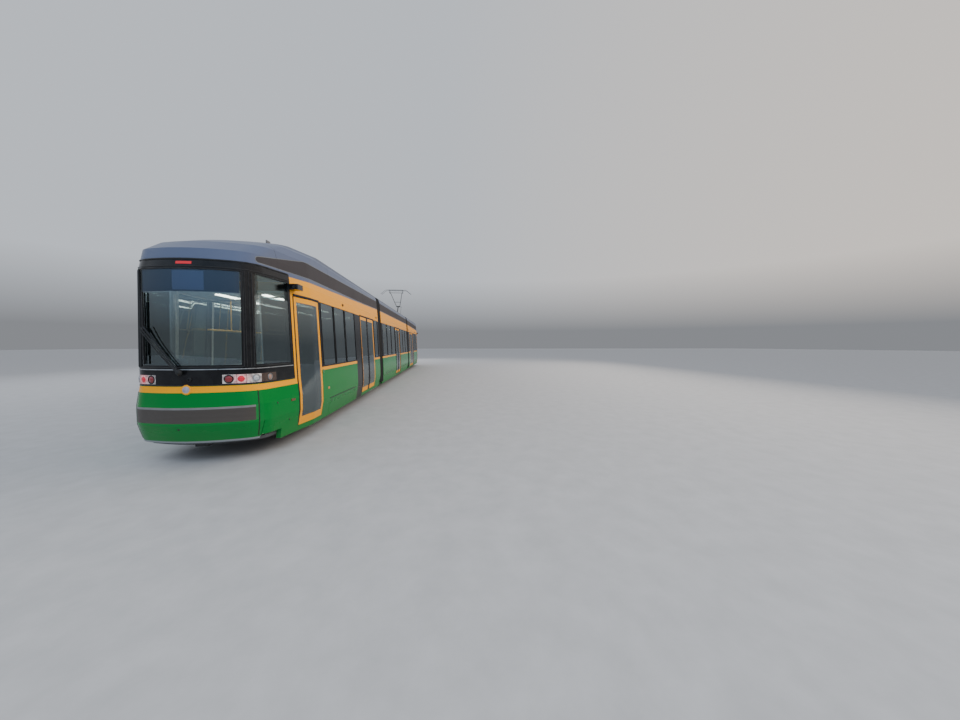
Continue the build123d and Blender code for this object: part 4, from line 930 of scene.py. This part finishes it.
x, y, z = roof_paint.parts_of("Object")
along = x.size()
out = (along - ROOF_START).at_least(0.0)
band_top = BAND_HIGH - out * BAND_FALL
low_line = (INSET_LOW - out * INSET_LOW_FALL).at_least(band_top + INSET_GAP)
bend = (along - INSET_BEND_X).at_least(0.0)
high_line = INSET_HIGH - out * INSET_HIGH_FALL - bend * INSET_BEND_FALL
half_tall = (high_line - low_line) * 0.5
rise = z - (low_line + high_line) * 0.5
reach = (along - INSET_NOSE_X).at_least(0.0).distance(rise)
on_flank = y.size() > FLANK_Y
inset = (reach < half_tall) * on_flank
rim = (reach < half_tall + INSET_LIP) * on_flank - inset
faces_x, faces_y, faces_z = roof_paint.parts_of("Normal")
inward = (y * faces_y < -0.02).either(x * faces_x < -0.5)
deck = (faces_z > 0.9) * (z < DECK_TOP)
colour = roof_paint.mix((z < band_top) * (along < MASK_X), ROOF_GREY_IN_PAINTED_SHADE, YELLOW)
colour = roof_paint.mix(inward.either(deck), colour, DECK_GREY)
colour = roof_paint.mix(rim, colour, (0.15, 0.16, 0.17, 1))
colour = roof_paint.mix(inset, colour, DARK_GREY)
grime = roof_paint.noise(1.7, 7.0, 0.65)
on_top = z > TOP_Z
joint = ((along / PANEL_PITCH).math("FRACT") < JOINT_SHARE) * (z > band_top)
colour = roof_paint.mix(on_top * grime * 0.5, colour, (0.16, 0.16, 0.155, 1))
colour = roof_paint.mix(joint, colour, (0.03, 0.03, 0.03, 1))
roof_paint.feed("Base Color", colour)
roof_paint.feed("Roughness", 0.24 + grime * 0.16 + on_top * 0.2 + inset * 0.25)
roof_paint.bump(inset * -1.0 - joint, 0.8, 0.010)
dress(roof_paint.material, SECTIONS, "_roof")

# Roof units: sheet-metal boxes for cooling, converters and batteries, bolted to two rails each.
# They carry fan rings with guards, louvres and lifting eyes, and a film of soot. Conduits run
# along the deck on both sides of them, on clips.
unit_paint = uneven("unit_paint", (0.26, 0.27, 0.28), (0.13, 0.13, 0.128), 2.0, 0.42)
dress(unit_paint, SECTIONS, "_roof_units")
grille_metal = uneven("grille_metal", (0.05, 0.052, 0.055), (0.10, 0.10, 0.098), 6.0, 0.4,
                      Metallic=0.4)
DECK_Z = 3.085
FAN_R = 0.30
FAN_PITCH = 0.9             # a unit has as many fans as this fits into its length
SPOKES = 12
FAN_RING = ((FAN_R - 0.02, 0.0), (FAN_R - 0.02, 0.035), (FAN_R, 0.045), (FAN_R + 0.02, 0.035),
            (FAN_R + 0.02, 0.0), (FAN_R - 0.02, 0.0))
FAN_HUB = ((0.0, 0.038), (0.05, 0.036), (0.06, 0.025), (0.06, 0.0), (0.0, 0.0))
LOUVRES, LOUVRE_PITCH, LOUVRE_TILT = 7, 0.05, 0.6
LOUVRE_LOW, LOUVRE_INSET = 0.14, 0.15
EYE_INSET = 0.12
EYE = ((0.022, -0.006), (0.022, 0.006), (0.038, 0.006), (0.038, -0.006), (0.022, -0.006))
CONDUIT_Y, CLIP_PITCH = 0.76, 0.8
# x from, x to, half width and height over the deck, drawn at the trailing end
END_UNITS = ((-11.40, -9.50, 0.72, 0.64), (-9.30, -7.90, 0.70, 0.56), (-7.70, -5.50, 0.72, 0.66))
MIDDLE_UNITS = ((-4.30, -2.30, 0.72, 0.64), (-2.10, -0.50, 0.70, 0.56), (-0.30, 1.90, 0.72, 0.66),
                (2.10, 4.30, 0.72, 0.64))
PAN_UNITS = (END_UNITS[0], (-9.30, -8.45, 0.70, 0.56), (-6.75, -5.50, 0.72, 0.66))
# section, its units, how they are turned, and the reach of its conduits
ROOFS = (("rear", END_UNITS, 1, (-11.5, -5.3)), ("middle", MIDDLE_UNITS, 1, (-4.4, 4.4)),
         ("front", PAN_UNITS, -1, (5.3, 11.5)))


def solid_bar(bm, low, high, bevel=0.004, matrix=Matrix()):
    """A bar with bevelled edges between two corners."""
    low, high = Vector(low), Vector(high)
    verts = bmesh.ops.create_cube(bm, size=1)["verts"]
    bmesh.ops.scale(bm, vec=high - low, verts=verts)
    bmesh.ops.translate(bm, vec=(low + high) / 2, verts=verts)
    bmesh.ops.transform(bm, matrix=matrix, verts=verts)
    edges = list({edge for vert in verts for edge in vert.link_edges})
    bmesh.ops.bevel(
        bm, geom=edges, offset=bevel, affect="EDGES", segments=2, profile=0.5, material=-1)


def fan(bm, x, top):
    lathe(bm, FAN_RING, (x, 0, top), (0, 0, 1), 28)
    lathe(bm, FAN_HUB, (x, 0, top), (0, 0, 1), 16)
    middle = Matrix.Translation((x, 0, top + 0.028))
    for turn in range(SPOKES):
        spoke = middle @ Matrix.Rotation(turn * math.tau / SPOKES, 4, "Z")
        solid_bar(bm, (0.05, -0.004, -0.004), (FAN_R - 0.01, 0.004, 0.004), 0.001, spoke)


def louvre(bm, first, last, y, z, tilt):
    matrix = Matrix.Translation(((first + last) / 2, y, z)) @ Matrix.Rotation(tilt, 4, "X")
    reach = (last - first) / 2 - LOUVRE_INSET
    solid_bar(bm, (-reach, -0.018, -0.003), (reach, 0.018, 0.003), 0.001, matrix)


def lifting_eye(bm, x, y, top):
    bead(bm, [(x, y, top + z) for z in (-0.01, 0.03)], 0.012)
    lathe(bm, EYE, (x, y, top + 0.045), (0, 1, 0), 16)


def unit_fittings(bm, units, flip):
    for first, last, half, height in units:
        first, last = sorted((first * flip, last * flip))
        top = DECK_Z + height
        fans = max(1, int((last - first) / FAN_PITCH))
        for i in range(fans):
            fan(bm, first + (last - first) * (i + 0.5) / fans, top)
        for side in (-1, 1):
            for row in range(LOUVRES):
                z = DECK_Z + LOUVRE_LOW + row * LOUVRE_PITCH
                louvre(bm, first, last, side * half, z, side * LOUVRE_TILT)
            for x in (first + EYE_INSET, last - EYE_INSET):
                lifting_eye(bm, x, side * (half - EYE_INSET), top)


def roof_lines(bm, first, last):
    """Conduits along the deck and their clips."""
    for y in (-CONDUIT_Y, CONDUIT_Y):
        bead(bm, [(first, y, DECK_Z + 0.03), (last, y, DECK_Z + 0.03)], 0.022)
        for i in range(int((last - first) / CLIP_PITCH)):
            x = first + CLIP_PITCH * (i + 0.5)
            low, high = (x - 0.02, y - 0.032, DECK_Z - 0.002), (x + 0.02, y + 0.032, DECK_Z + 0.06)
            solid_bar(bm, low, high, 0.006)


for section, units, flip, reach in ROOFS:
    grilles, conduits = bmesh.new(), bmesh.new()
    unit_fittings(grilles, units, flip)
    roof_lines(conduits, *reach)
    section_piece(section, "roof_grilles", grilles, grille_metal)
    section_piece(section, "roof_conduits", conduits, grille_metal)

# Aerials: one radio puck and one fin on each end dome, moulded in grey plastic.
# Both are sealed to the dome where their cables pass through it.
AERIAL_X, AERIAL_Y = -11.98, 0.35
PUCK = ((0.0, 0.055), (0.045, 0.052), (0.075, 0.040), (0.090, 0.015), (0.095, -0.02), (0.0, -0.02))
FIN_LOW, FIN_HIGH = Vector((-0.09, -0.012, -0.02)), Vector((0.06, 0.012, 0.10))
aerial_plastic = uneven("aerial_plastic", (0.10, 0.10, 0.11), (0.15, 0.15, 0.16), 9.0, 0.4, 0.0004)


def aerials(bm):
    places = [met(end_skin, (AERIAL_X, y, 5.0), (0, 0, -1))[0] for y in (AERIAL_Y, -AERIAL_Y)]
    lathe(bm, PUCK, places[0], (0, 0, 1), 24)
    solid_bar(bm, places[1] + FIN_LOW, places[1] + FIN_HIGH, 0.010)


at_both_ends("aerials", aerials, aerial_plastic, "roof_paint")

# Bellows: rubber-coated fabric folded over hoops, hung between the sections round both sides
# and over the roof. Each replaces the plain ring of the frame.
OUTLINE = ((1.180, 0.370), (1.180, 0.930), (1.170, 1.255), (1.090, 3.025), (1.068, 3.315),
           (1.053, 3.505), (1.033, 3.660), (0.988, 3.770), (0.895, 3.825))
BELLOWS_X = (4.522, 5.178)
BELLOWS_MIDDLE_Z = 2.0
FOLDS = 9
FOLD_STEPS = 6
FOLD_DEPTH = 0.042          # share of the outline that a fold draws in
bellows_rubber = Finish("bellows_rubber")
dust = bellows_rubber.noise(14.0, 5.0, 0.6)
dusty = bellows_rubber.ramp(dust, 0.3, 0.75, (0.007, 0.007, 0.008, 1), (0.028, 0.026, 0.024, 1))
bellows_rubber.feed("Base Color", dusty)
bellows_rubber.feed("Roughness", 0.5 + dust * 0.3)
bellows_rubber.bump(bellows_rubber.noise(260.0, 2.0), 0.3, 0.0008)


def drawn_in(station):
    """The share of the outline that is left at a station of the folds."""
    return 1 - FOLD_DEPTH * (1 - math.cos(math.tau * station / FOLD_STEPS)) / 2


def folded_bellows(bm, side):
    ring = list(OUTLINE) + [(-y, z) for y, z in reversed(OUTLINE)]
    verts = [bm.verts.new((side * BELLOWS_X[0], y, z)) for y, z in ring]
    edges = [bm.edges.new(pair) for pair in zip(verts, verts[1:])]
    stations = FOLDS * FOLD_STEPS
    step = side * (BELLOWS_X[1] - BELLOWS_X[0]) / stations
    for station in range(1, stations + 1):
        made = bmesh.ops.extrude_edge_only(bm, edges=edges)["geom"]
        verts = [item for item in made if isinstance(item, bmesh.types.BMVert)]
        edges = [item for item in made if isinstance(item, bmesh.types.BMEdge)]
        edges = [edge for edge in edges if set(edge.verts) <= set(verts)]
        bmesh.ops.translate(bm, vec=(step, 0, 0), verts=verts)
        share = drawn_in(station) / drawn_in(station - 1)
        middle = Matrix.Translation((0, 0, -BELLOWS_MIDDLE_Z))
        bmesh.ops.scale(bm, vec=(1, share, share), space=middle, verts=verts)
    bmesh.ops.recalc_face_normals(bm, faces=bm.faces)
    bmesh.ops.solidify(bm, geom=list(bm.faces), thickness=0.012)


for section, side in zip(ENDS, (-1, 1)):
    bm = bmesh.new()
    folded_bellows(bm, side)
    name = section + "_folded_bellows"
    bellows = piece_of(name, bm, bellows_rubber.material, None, 1.2)
    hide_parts(section + "_bellows")
    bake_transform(bellows)

# Interior: vinyl floor, pale ceiling panels, and yellow grab poles that stand under them.
# Wheel covers are finished as the floor is.
VINYL_LOW = 0.335           # below this height the floor's underside is plain and dark
POLE_TOP = 2.83
vinyl = Finish("floor_vinyl", Roughness=0.55)
x, y, z = vinyl.parts_of("Object")
flakes = vinyl.noise(160.0, 2.0)
colour = vinyl.ramp(flakes, 0.42, 0.58, (0.055, 0.058, 0.062, 1), (0.11, 0.115, 0.12, 1))
vinyl.feed("Base Color", vinyl.mix(z < VINYL_LOW, colour, (0.030, 0.029, 0.028, 1)))
dress(vinyl.material, SECTIONS, "_floor", "_wheel_covers")
lining = Finish("ceiling_lining")
x, y, z = lining.parts_of("Object")
pole = z < POLE_TOP
lining.feed("Base Color", lining.mix(pole, (0.62, 0.63, 0.62, 1), (0.72, 0.40, 0.02, 1)))
lining.feed("Roughness", 0.55 - pole * 0.28 + lining.noise(12.0) * 0.1)
dress(lining.material, SECTIONS, "_ceiling_and_poles")

# Ceiling lights and grab rails: two rows of lit strips along each section, under opal covers,
# and a yellow rail beside each row, on hangers from the ceiling.
LIGHT_Y, LIGHT_HALF = 0.42, 0.05
LIGHT_Z = (2.815, 2.836)
LIGHT_LONG, LIGHT_GAP = 1.25, 0.15
INSIDE_X = {"rear": (-12.4, -5.35), "middle": (-4.35, 4.35), "front": (5.35, 12.2)}
opal = uneven("opal_light", (0.75, 0.76, 0.78), (0.85, 0.86, 0.88), 8.0, 0.4,
              Emission_Color=(1.0, 0.95, 0.85, 1), Emission_Strength=11.0)
RAIL_Z = 2.16
RAIL_Y = 0.56
pole_yellow = uneven("pole_yellow", (0.66, 0.36, 0.015), (0.76, 0.43, 0.02), 14.0, 0.25)
for section, (first, last) in INSIDE_X.items():
    lights, rails = bmesh.new(), bmesh.new()
    count = int((last - first) / (LIGHT_LONG + LIGHT_GAP))
    pitch = (last - first) / count
    for side in (-1, 1):
        for i in range(count):
            x = first + pitch * (i + 0.5)
            low = (x - LIGHT_LONG / 2, side * LIGHT_Y - LIGHT_HALF, LIGHT_Z[0])
            high = (x + LIGHT_LONG / 2, side * LIGHT_Y + LIGHT_HALF, LIGHT_Z[1])
            solid_bar(lights, low, high, 0.006)
            bead(rails, [(x, side * RAIL_Y, RAIL_Z), (x, side * RAIL_Y, LIGHT_Z[1])], 0.013)
        bead(rails, [(first, side * RAIL_Y, RAIL_Z), (last, side * RAIL_Y, RAIL_Z)], 0.016)
    section_piece(section, "ceiling_lights", lights, opal)
    section_piece(section, "grab_rails", rails, pole_yellow)

# Seats: moulded shells with foam pads under woven fabric, in pairs on the wheel covers and on
# pedestals. Shells and pads replace the plain seats of the frame.
SEAT_HALF_DEEP = 0.21
SEAT_WIDE = 0.6             # a row wider than this has two seats, and past twice this three
BACK_THICK, SHELL_THICK = 0.06, 0.022
PAD_THICK, PAD_GAP = 0.045, 0.008
WEAVE = 900.0
COVER_TOP, FLOOR_TOP = 0.740, 0.385
PLINTH_Y = (0.27, 1.05)
PLINTH_SEAT_X = 0.95        # the seats on a wheel cover stand this far from the bogie's middle
BENCH_X, BENCH_HALF = -12.95, 0.75      # seats across the trailing end
# x, side and facing of the pairs on pedestals, drawn at the trailing end
END_FLOOR_SEATS = ((-6.30, 1, 1), (-5.70, 1, 1), (-5.75, -1, 1))
PAIR_Y, PAIR_HALF = 0.65, 0.42
ON_COVER = (COVER_TOP, COVER_TOP + 0.13, COVER_TOP + 0.70, None)
fabric = Finish("seat_fabric", Roughness=0.9, Sheen_Weight=0.3)
x, y, z = fabric.parts_of("Object")
weave = (x * WEAVE).wave() * (y * WEAVE).wave() + (z * WEAVE).wave() * 0.5
patches = fabric.noise(24.0, 3.0)
green_cloth = fabric.ramp(patches, 0.42, 0.58, (0.010, 0.050, 0.026, 1), (0.028, 0.11, 0.055, 1))
fabric.feed("Base Color", green_cloth)
fabric.bump(weave, 0.4, 0.0006)
shell_plastic = uneven("seat_shell", (0.10, 0.105, 0.11), (0.14, 0.145, 0.15), 10.0, 0.45, 0.0003)


def pad(bm, low, high, flat, crown=0.014):
    """A crowned foam pad: its sides pull in between the corners, and one face stays flat."""
    low, high = Vector(low), Vector(high)
    half = (high - low) / 2
    centre = (high + low) / 2
    present = len(bm.verts)
    verts = bmesh.ops.create_cube(bm, size=2)["verts"]
    edges = list({edge for vert in verts for edge in vert.link_edges})
    bmesh.ops.subdivide_edges(bm, edges=edges, cuts=5, use_grid_fill=True)
    bm.verts.ensure_lookup_table()
    for vert in bm.verts[present:]:
        place = vert.co.copy()
        for i in range(3):
            others = [place[j] for j in range(3) if j != i]
            swell = (1 - others[0] ** 4) * (1 - others[1] ** 4)
            drawn = half[i] - crown * (1 - swell)
            if (i, place[i] > 0) == flat:
                drawn = half[i]
            vert.co[i] = centre[i] + place[i] * drawn


def on_pedestal(floor):
    """Heights of a seat's shell, cushion and back over a floor, and of that floor."""
    return floor + 0.40, floor + 0.47, floor + 1.05, floor


def seat_row(shells, pads, x, y_range, facing, base, cushion_z, back_top, pedestal):
    """Seats side by side, facing +X or -X; pedestal is None on a wheel cover."""
    low_y, high_y = y_range
    low_x, high_x = x - SEAT_HALF_DEEP, x + SEAT_HALF_DEEP
    back = sorted((x - facing * SEAT_HALF_DEEP, x - facing * (SEAT_HALF_DEEP + BACK_THICK)))
    shell_top = cushion_z - PAD_THICK
    solid_bar(shells, (low_x, low_y, base), (high_x, high_y, shell_top), 0.014)
    shell_x = (back[0], back[0] + SHELL_THICK) if facing > 0 else (back[1] - SHELL_THICK, back[1])
    solid_bar(shells, (shell_x[0], low_y, base), (shell_x[1], high_y, back_top), 0.010)
    if pedestal is not None:
        middle = (low_y + high_y) / 2
        low, high = (x - 0.12, middle - 0.06, pedestal), (x + 0.12, middle + 0.06, base + 0.01)
        solid_bar(shells, low, high, 0.012)
    wide = high_y - low_y
    count = 1 + (wide > SEAT_WIDE) + (wide > 2 * SEAT_WIDE)
    pad_x = (shell_x[1], back[1]) if facing > 0 else (back[0], shell_x[0])
    for i in range(count):
        first = low_y + i * wide / count + PAD_GAP
        last = low_y + (i + 1) * wide / count - PAD_GAP
        pad(pads, (low_x + 0.01, first, shell_top), (high_x, last, cushion_z), (2, False))
        low, high = (pad_x[0], first, cushion_z + 0.02), (pad_x[1], last, back_top - 0.02)
        pad(pads, low, high, (0, facing < 0), 0.010)


def pads_piece(name, bm, body):
    """Pads rounded by subdivision, which the frame knows as padded."""
    pads = piece_of(name, bm, fabric.material, body, 2.0)
    smooth = pads.modifiers.new("Subdivision", "SUBSURF")
    smooth.levels = smooth.render_levels = 1


for section, flip in (("rear", 1), ("middle", 1), ("front", -1)):
    shells, pads = bmesh.new(), bmesh.new()
    for bogie_x in OVER_BOGIES["middle" if section == "middle" else "rear"]:
        for side in (-1, 1):
            for facing in (-1, 1):
                x = (bogie_x - facing * PLINTH_SEAT_X) * flip
                reach = sorted(side * y for y in PLINTH_Y)
                seat_row(shells, pads, x, reach, facing * flip, *ON_COVER)
    if section in ENDS:
        for x, side, facing in END_FLOOR_SEATS:
            reach = (side * PAIR_Y - PAIR_HALF, side * PAIR_Y + PAIR_HALF)
            seat_row(shells, pads, x * flip, reach, facing * flip, *on_pedestal(FLOOR_TOP))
    if section == "rear":
        seat_row(shells, pads, BENCH_X, (-BENCH_HALF, BENCH_HALF), 1, *on_pedestal(FLOOR_TOP))
    shell = section_piece(section, "seat_shells", shells, shell_plastic)
    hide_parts(section + "_seats")
    pads_piece(section + "_seat_pads", pads, section + "_section")

# Cab: desk moulding that follows the front, driver's seat on a step, and a glazed partition.
# The desk and partition keep the frame's shape, and the seat gets pads of its own.
SEAT_ZONE = (12.46, 13.03)
DRIVER_X = 12.75
STEP_TOP = 0.445
STEP_HALF_X, STEP_HALF_Y = 0.13, 0.16
cab_plastic = uneven("cab_plastic", (0.028, 0.030, 0.033), (0.050, 0.052, 0.056), 9.0, 0.5, 0.0005)
bm = bmesh.new()
bm.from_mesh(nodes["cab"].data)
bmesh.ops.remove_doubles(bm, verts=bm.verts, dist=0.00002)
seat_verts = [vert for vert in bm.verts if SEAT_ZONE[0] < vert.co.x < SEAT_ZONE[1]]
bmesh.ops.delete(bm, geom=seat_verts, context="VERTS")
desk = piece_of("cab_desk_and_partition", bm, cab_plastic, "front_section")
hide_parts("cab")
shells, pads = bmesh.new(), bmesh.new()
seat_row(shells, pads, DRIVER_X, (-0.25, 0.25), 1, *on_pedestal(STEP_TOP))
low = (DRIVER_X - STEP_HALF_X, -STEP_HALF_Y, FLOOR_TOP)
high = (DRIVER_X + STEP_HALF_X, STEP_HALF_Y, STEP_TOP + 0.005)
solid_bar(shells, low, high, 0.010)
piece_of("driver_seat_shell", shells, shell_plastic, "front_section")
pads_piece("driver_seat_pads", pads, "front_section")

# Consoles: two screens in hoods and a lever on the driver's desk, and a smaller unit on a shelf
# behind the trailing screen.
DESK_TOP = 1.175
HOOD_X, HOOD_Y, HOOD_TILT = 13.24, 0.28, -0.35
HOOD_HALF = Vector((0.03, 0.17, 0.11))
LEVER_PLACE = (13.15, 0.55, DESK_TOP)
LEVER = ((0.0, 0.13), (0.022, 0.12), (0.026, 0.10), (0.012, 0.07), (0.012, 0.01), (0.04, 0.0),
         (0.04, -0.02), (0.0, -0.02))
# two corners and bevel of the trailing shelf, its unit and its apron
SHELF_BARS = (((-13.62, -0.60, 1.46), (-13.36, 0.60, 1.50), 0.010),
              ((-13.56, 0.12, 1.495), (-13.38, 0.50, 1.66), 0.030),
              ((-13.40, -0.60, 0.40), (-13.36, 0.60, 1.48), 0.008))
consoles, shelf = bmesh.new(), bmesh.new()
for y in (-HOOD_Y, HOOD_Y):
    tilt = Matrix.Translation((HOOD_X, y, DESK_TOP + 0.10)) @ Matrix.Rotation(HOOD_TILT, 4, "Y")
    solid_bar(consoles, -HOOD_HALF, HOOD_HALF, 0.012, tilt)
lathe(consoles, LEVER, LEVER_PLACE, (0, 0, 1), 16)
for bar in SHELF_BARS:
    solid_bar(shelf, *bar)
piece_of("driver_consoles", consoles, cab_plastic, "front_section")
piece_of("trailing_console", shelf, cab_plastic, "rear_section")

# Bogies: welded frames with cast axle boxes, painted dark grey and covered with brake dust.
# Axle box covers and dampers are bolted on.
AXLE_Z = 0.330
HALF_BASE = 0.85
BOX_Y, BOX_BOLTS_Y, BOX_BOLT_CIRCLE = 0.70, 0.715, 0.074
BOX_COVER = ((0.0, 0.030), (0.045, 0.028), (0.060, 0.018), (0.085, 0.016), (0.090, 0.010),
             (0.090, -0.01), (0.0, -0.01))
BOLT = ((0.0, 0.012), (0.010, 0.012), (0.012, 0.008), (0.012, -0.004), (0.0, -0.004))
DAMPER = ((0.0, 0.0), (0.018, 0.0), (0.018, 0.12), (0.030, 0.12), (0.030, 0.34), (0.014, 0.35),
          (0.014, 0.46), (0.0, 0.46))
DAMPER_X, DAMPER_Y, DAMPER_Z, DAMPER_FALL = 0.22, 0.745, 0.395, -0.10
BRACKET_Y, BRACKET_Z = 0.722, 0.385
BRACKET_HALF = Vector((0.02, 0.025, 0.025))
bogie_paint = Finish("bogie_paint")
dust = bogie_paint.noise(6.0, 7.0, 0.65)
dusty = bogie_paint.ramp(dust, 0.35, 0.7, (0.030, 0.030, 0.032, 1), (0.095, 0.070, 0.048, 1))
bogie_paint.feed("Base Color", dusty)
bogie_paint.feed("Roughness", 0.6 + dust * 0.3)
bogie_paint.bump(bogie_paint.noise(45.0, 5.0), 0.25, 0.003)


def bolt_ring(bm, axle_x, y, side, ring_r):
    """Six bolts round the line of an axle, with their heads outwards."""
    for turn in range(6):
        angle = turn * math.tau / 6
        place = (axle_x + ring_r * math.cos(angle), side * y, AXLE_Z + ring_r * math.sin(angle))
        lathe(bm, BOLT, place, (0, side, 0), 6)


def damper(bm, x, side, end):
    lathe(bm, DAMPER, (x, side * DAMPER_Y, DAMPER_Z), (end, 0, DAMPER_FALL), 16)
    bracket = Vector((x, side * BRACKET_Y, BRACKET_Z))
    solid_bar(bm, bracket - BRACKET_HALF, bracket + BRACKET_HALF, 0.006)


for number, bogie_x in enumerate(BOGIE_X, start=1):
    body = "bogie_%d" % number
    dress(bogie_paint.material, (body,), "_frame")
    bm = bmesh.new()
    for side in (-1, 1):
        for end in (-1, 1):
            axle_x = bogie_x + end * HALF_BASE
            lathe(bm, BOX_COVER, (axle_x, side * BOX_Y, AXLE_Z), (0, side, 0), 24)
            bolt_ring(bm, axle_x, BOX_BOLTS_Y, side, BOX_BOLT_CIRCLE)
            damper(bm, bogie_x + end * DAMPER_X, side, end)
    piece_of(body + "_boxes_and_dampers", bm, bogie_paint.material, body)

# Wheels: steel tyres on resilient discs, bright on the tread and rusty on the web.
# Six clamping bolts hold each tyre to its centre.
TREAD_R = 0.292
WHEEL_BOLT_CIRCLE = 0.185
WHEEL_FACE = 0.520
TURNING_MARKS = 900.0       # fine rings left by the lathe


def wheel_steel(name, axle_x):
    steel = Finish(name)
    x, y, z = steel.parts_of("Object")
    radius = (x - axle_x).distance(z - AXLE_Z)
    tread = radius > TREAD_R
    rust = steel.noise(9.0, 7.0, 0.65)
    web = steel.ramp(rust, 0.35, 0.7, (0.055, 0.045, 0.040, 1), (0.13, 0.070, 0.040, 1))
    steel.feed("Base Color", steel.mix(tread, web, (0.50, 0.49, 0.48, 1)))
    steel.feed("Metallic", tread * 0.9)
    steel.feed("Roughness", 0.72 - tread * 0.42)
    steel.bump((radius * TURNING_MARKS).wave(), 0.12, 0.0005)
    return steel.material


for number, bogie_x in enumerate(BOGIE_X, start=1):
    for letter, end in (("a", -1), ("b", 1)):
        axle_x = bogie_x + end * HALF_BASE
        which = "%d%s" % (number, letter)
        steel = wheel_steel("wheel_steel_" + which, axle_x)
        dress(steel, ("bogie_%d" % number,), "_wheelset_" + letter)
        bm = bmesh.new()
        for side in (-1, 1):
            bolt_ring(bm, axle_x, WHEEL_FACE, side, WHEEL_BOLT_CIRCLE)
        piece_of("wheel_bolts_" + which, bm, steel, "wheelset_" + which)

# Pantograph: a single-arm frame of steel tube on four insulators, painted dark grey.
# The head is bare aluminium under two carbon strips.
STRIP_TALL = 0.022          # height of the carbon strips on the head
PAN_X = 7.60
INSULATOR_X, INSULATOR_Y = 0.60, 0.345
SHED_COUNT, SHED_PITCH = 7, 0.085
SPRING_X = (PAN_X - 0.55, PAN_X - 0.10)
SPRING_Y, SPRING_Z = 0.16, 3.895
COIL_R, COIL_START, COIL_STEPS, COIL_STEP = 0.032, 0.04, 60, 0.006
arm_paint = uneven("pantograph_paint", (0.030, 0.032, 0.036), (0.075, 0.07, 0.065), 18.0, 0.38)
dress(arm_paint, ("pantograph",), "_base", "_lower_arm", "_control_rod", "_upper_arm")
head_metal = Finish("collector_metal")
x, y, z = head_metal.parts_of("Object")
low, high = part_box("pantograph_head")
carbon = z > high.z - STRIP_TALL
scratches = head_metal.noise(60.0, 4.0)
head_metal.feed("Base Color", head_metal.mix(carbon, (0.13, 0.13, 0.135, 1), (0.018, 0.018, 0.019, 1)))
head_metal.feed("Metallic", 0.85 - carbon * 0.8)
head_metal.feed("Roughness", 0.35 + scratches * 0.2)
dress(head_metal.material, ("pantograph",), "_head")
glaze = uneven("insulator_glaze", (0.10, 0.030, 0.018), (0.14, 0.045, 0.025), 6.0, 0.12,
               Coat_Weight=0.7)
sheds = [(0.0, 0.0), (0.055, 0.0)]
for shed in range(SHED_COUNT):
    base = 0.06 + shed * SHED_PITCH
    sheds += [(0.052, base), (0.084, base + 0.022), (0.084, base + 0.030), (0.055, base + 0.050)]
sheds += [(0.055, 0.69), (0.0, 0.69)]


def springs(bm):
    """Two rods, each with a coil spring wound round it."""
    for y in (-SPRING_Y, SPRING_Y):
        bead(bm, [(x, y, SPRING_Z) for x in SPRING_X], 0.010)
        coil = []
        for turn in range(COIL_STEPS):
            angle = turn * math.tau / 6
            x = SPRING_X[0] + COIL_START + turn * COIL_STEP
            coil.append((x, y + COIL_R * math.cos(angle), SPRING_Z + COIL_R * math.sin(angle)))
        bead(bm, coil, 0.006, segments=6)


insulators, coils = bmesh.new(), bmesh.new()
for x in (PAN_X - INSULATOR_X, PAN_X + INSULATOR_X):
    for y in (-INSULATOR_Y, INSULATOR_Y):
        lathe(insulators, sheds, (x, y, DECK_Z), (0, 0, 1), 20)
springs(coils)
piece_of("pantograph_insulators", insulators, glaze, "front_section")
piece_of("pantograph_springs", coils, arm_paint, "front_section")
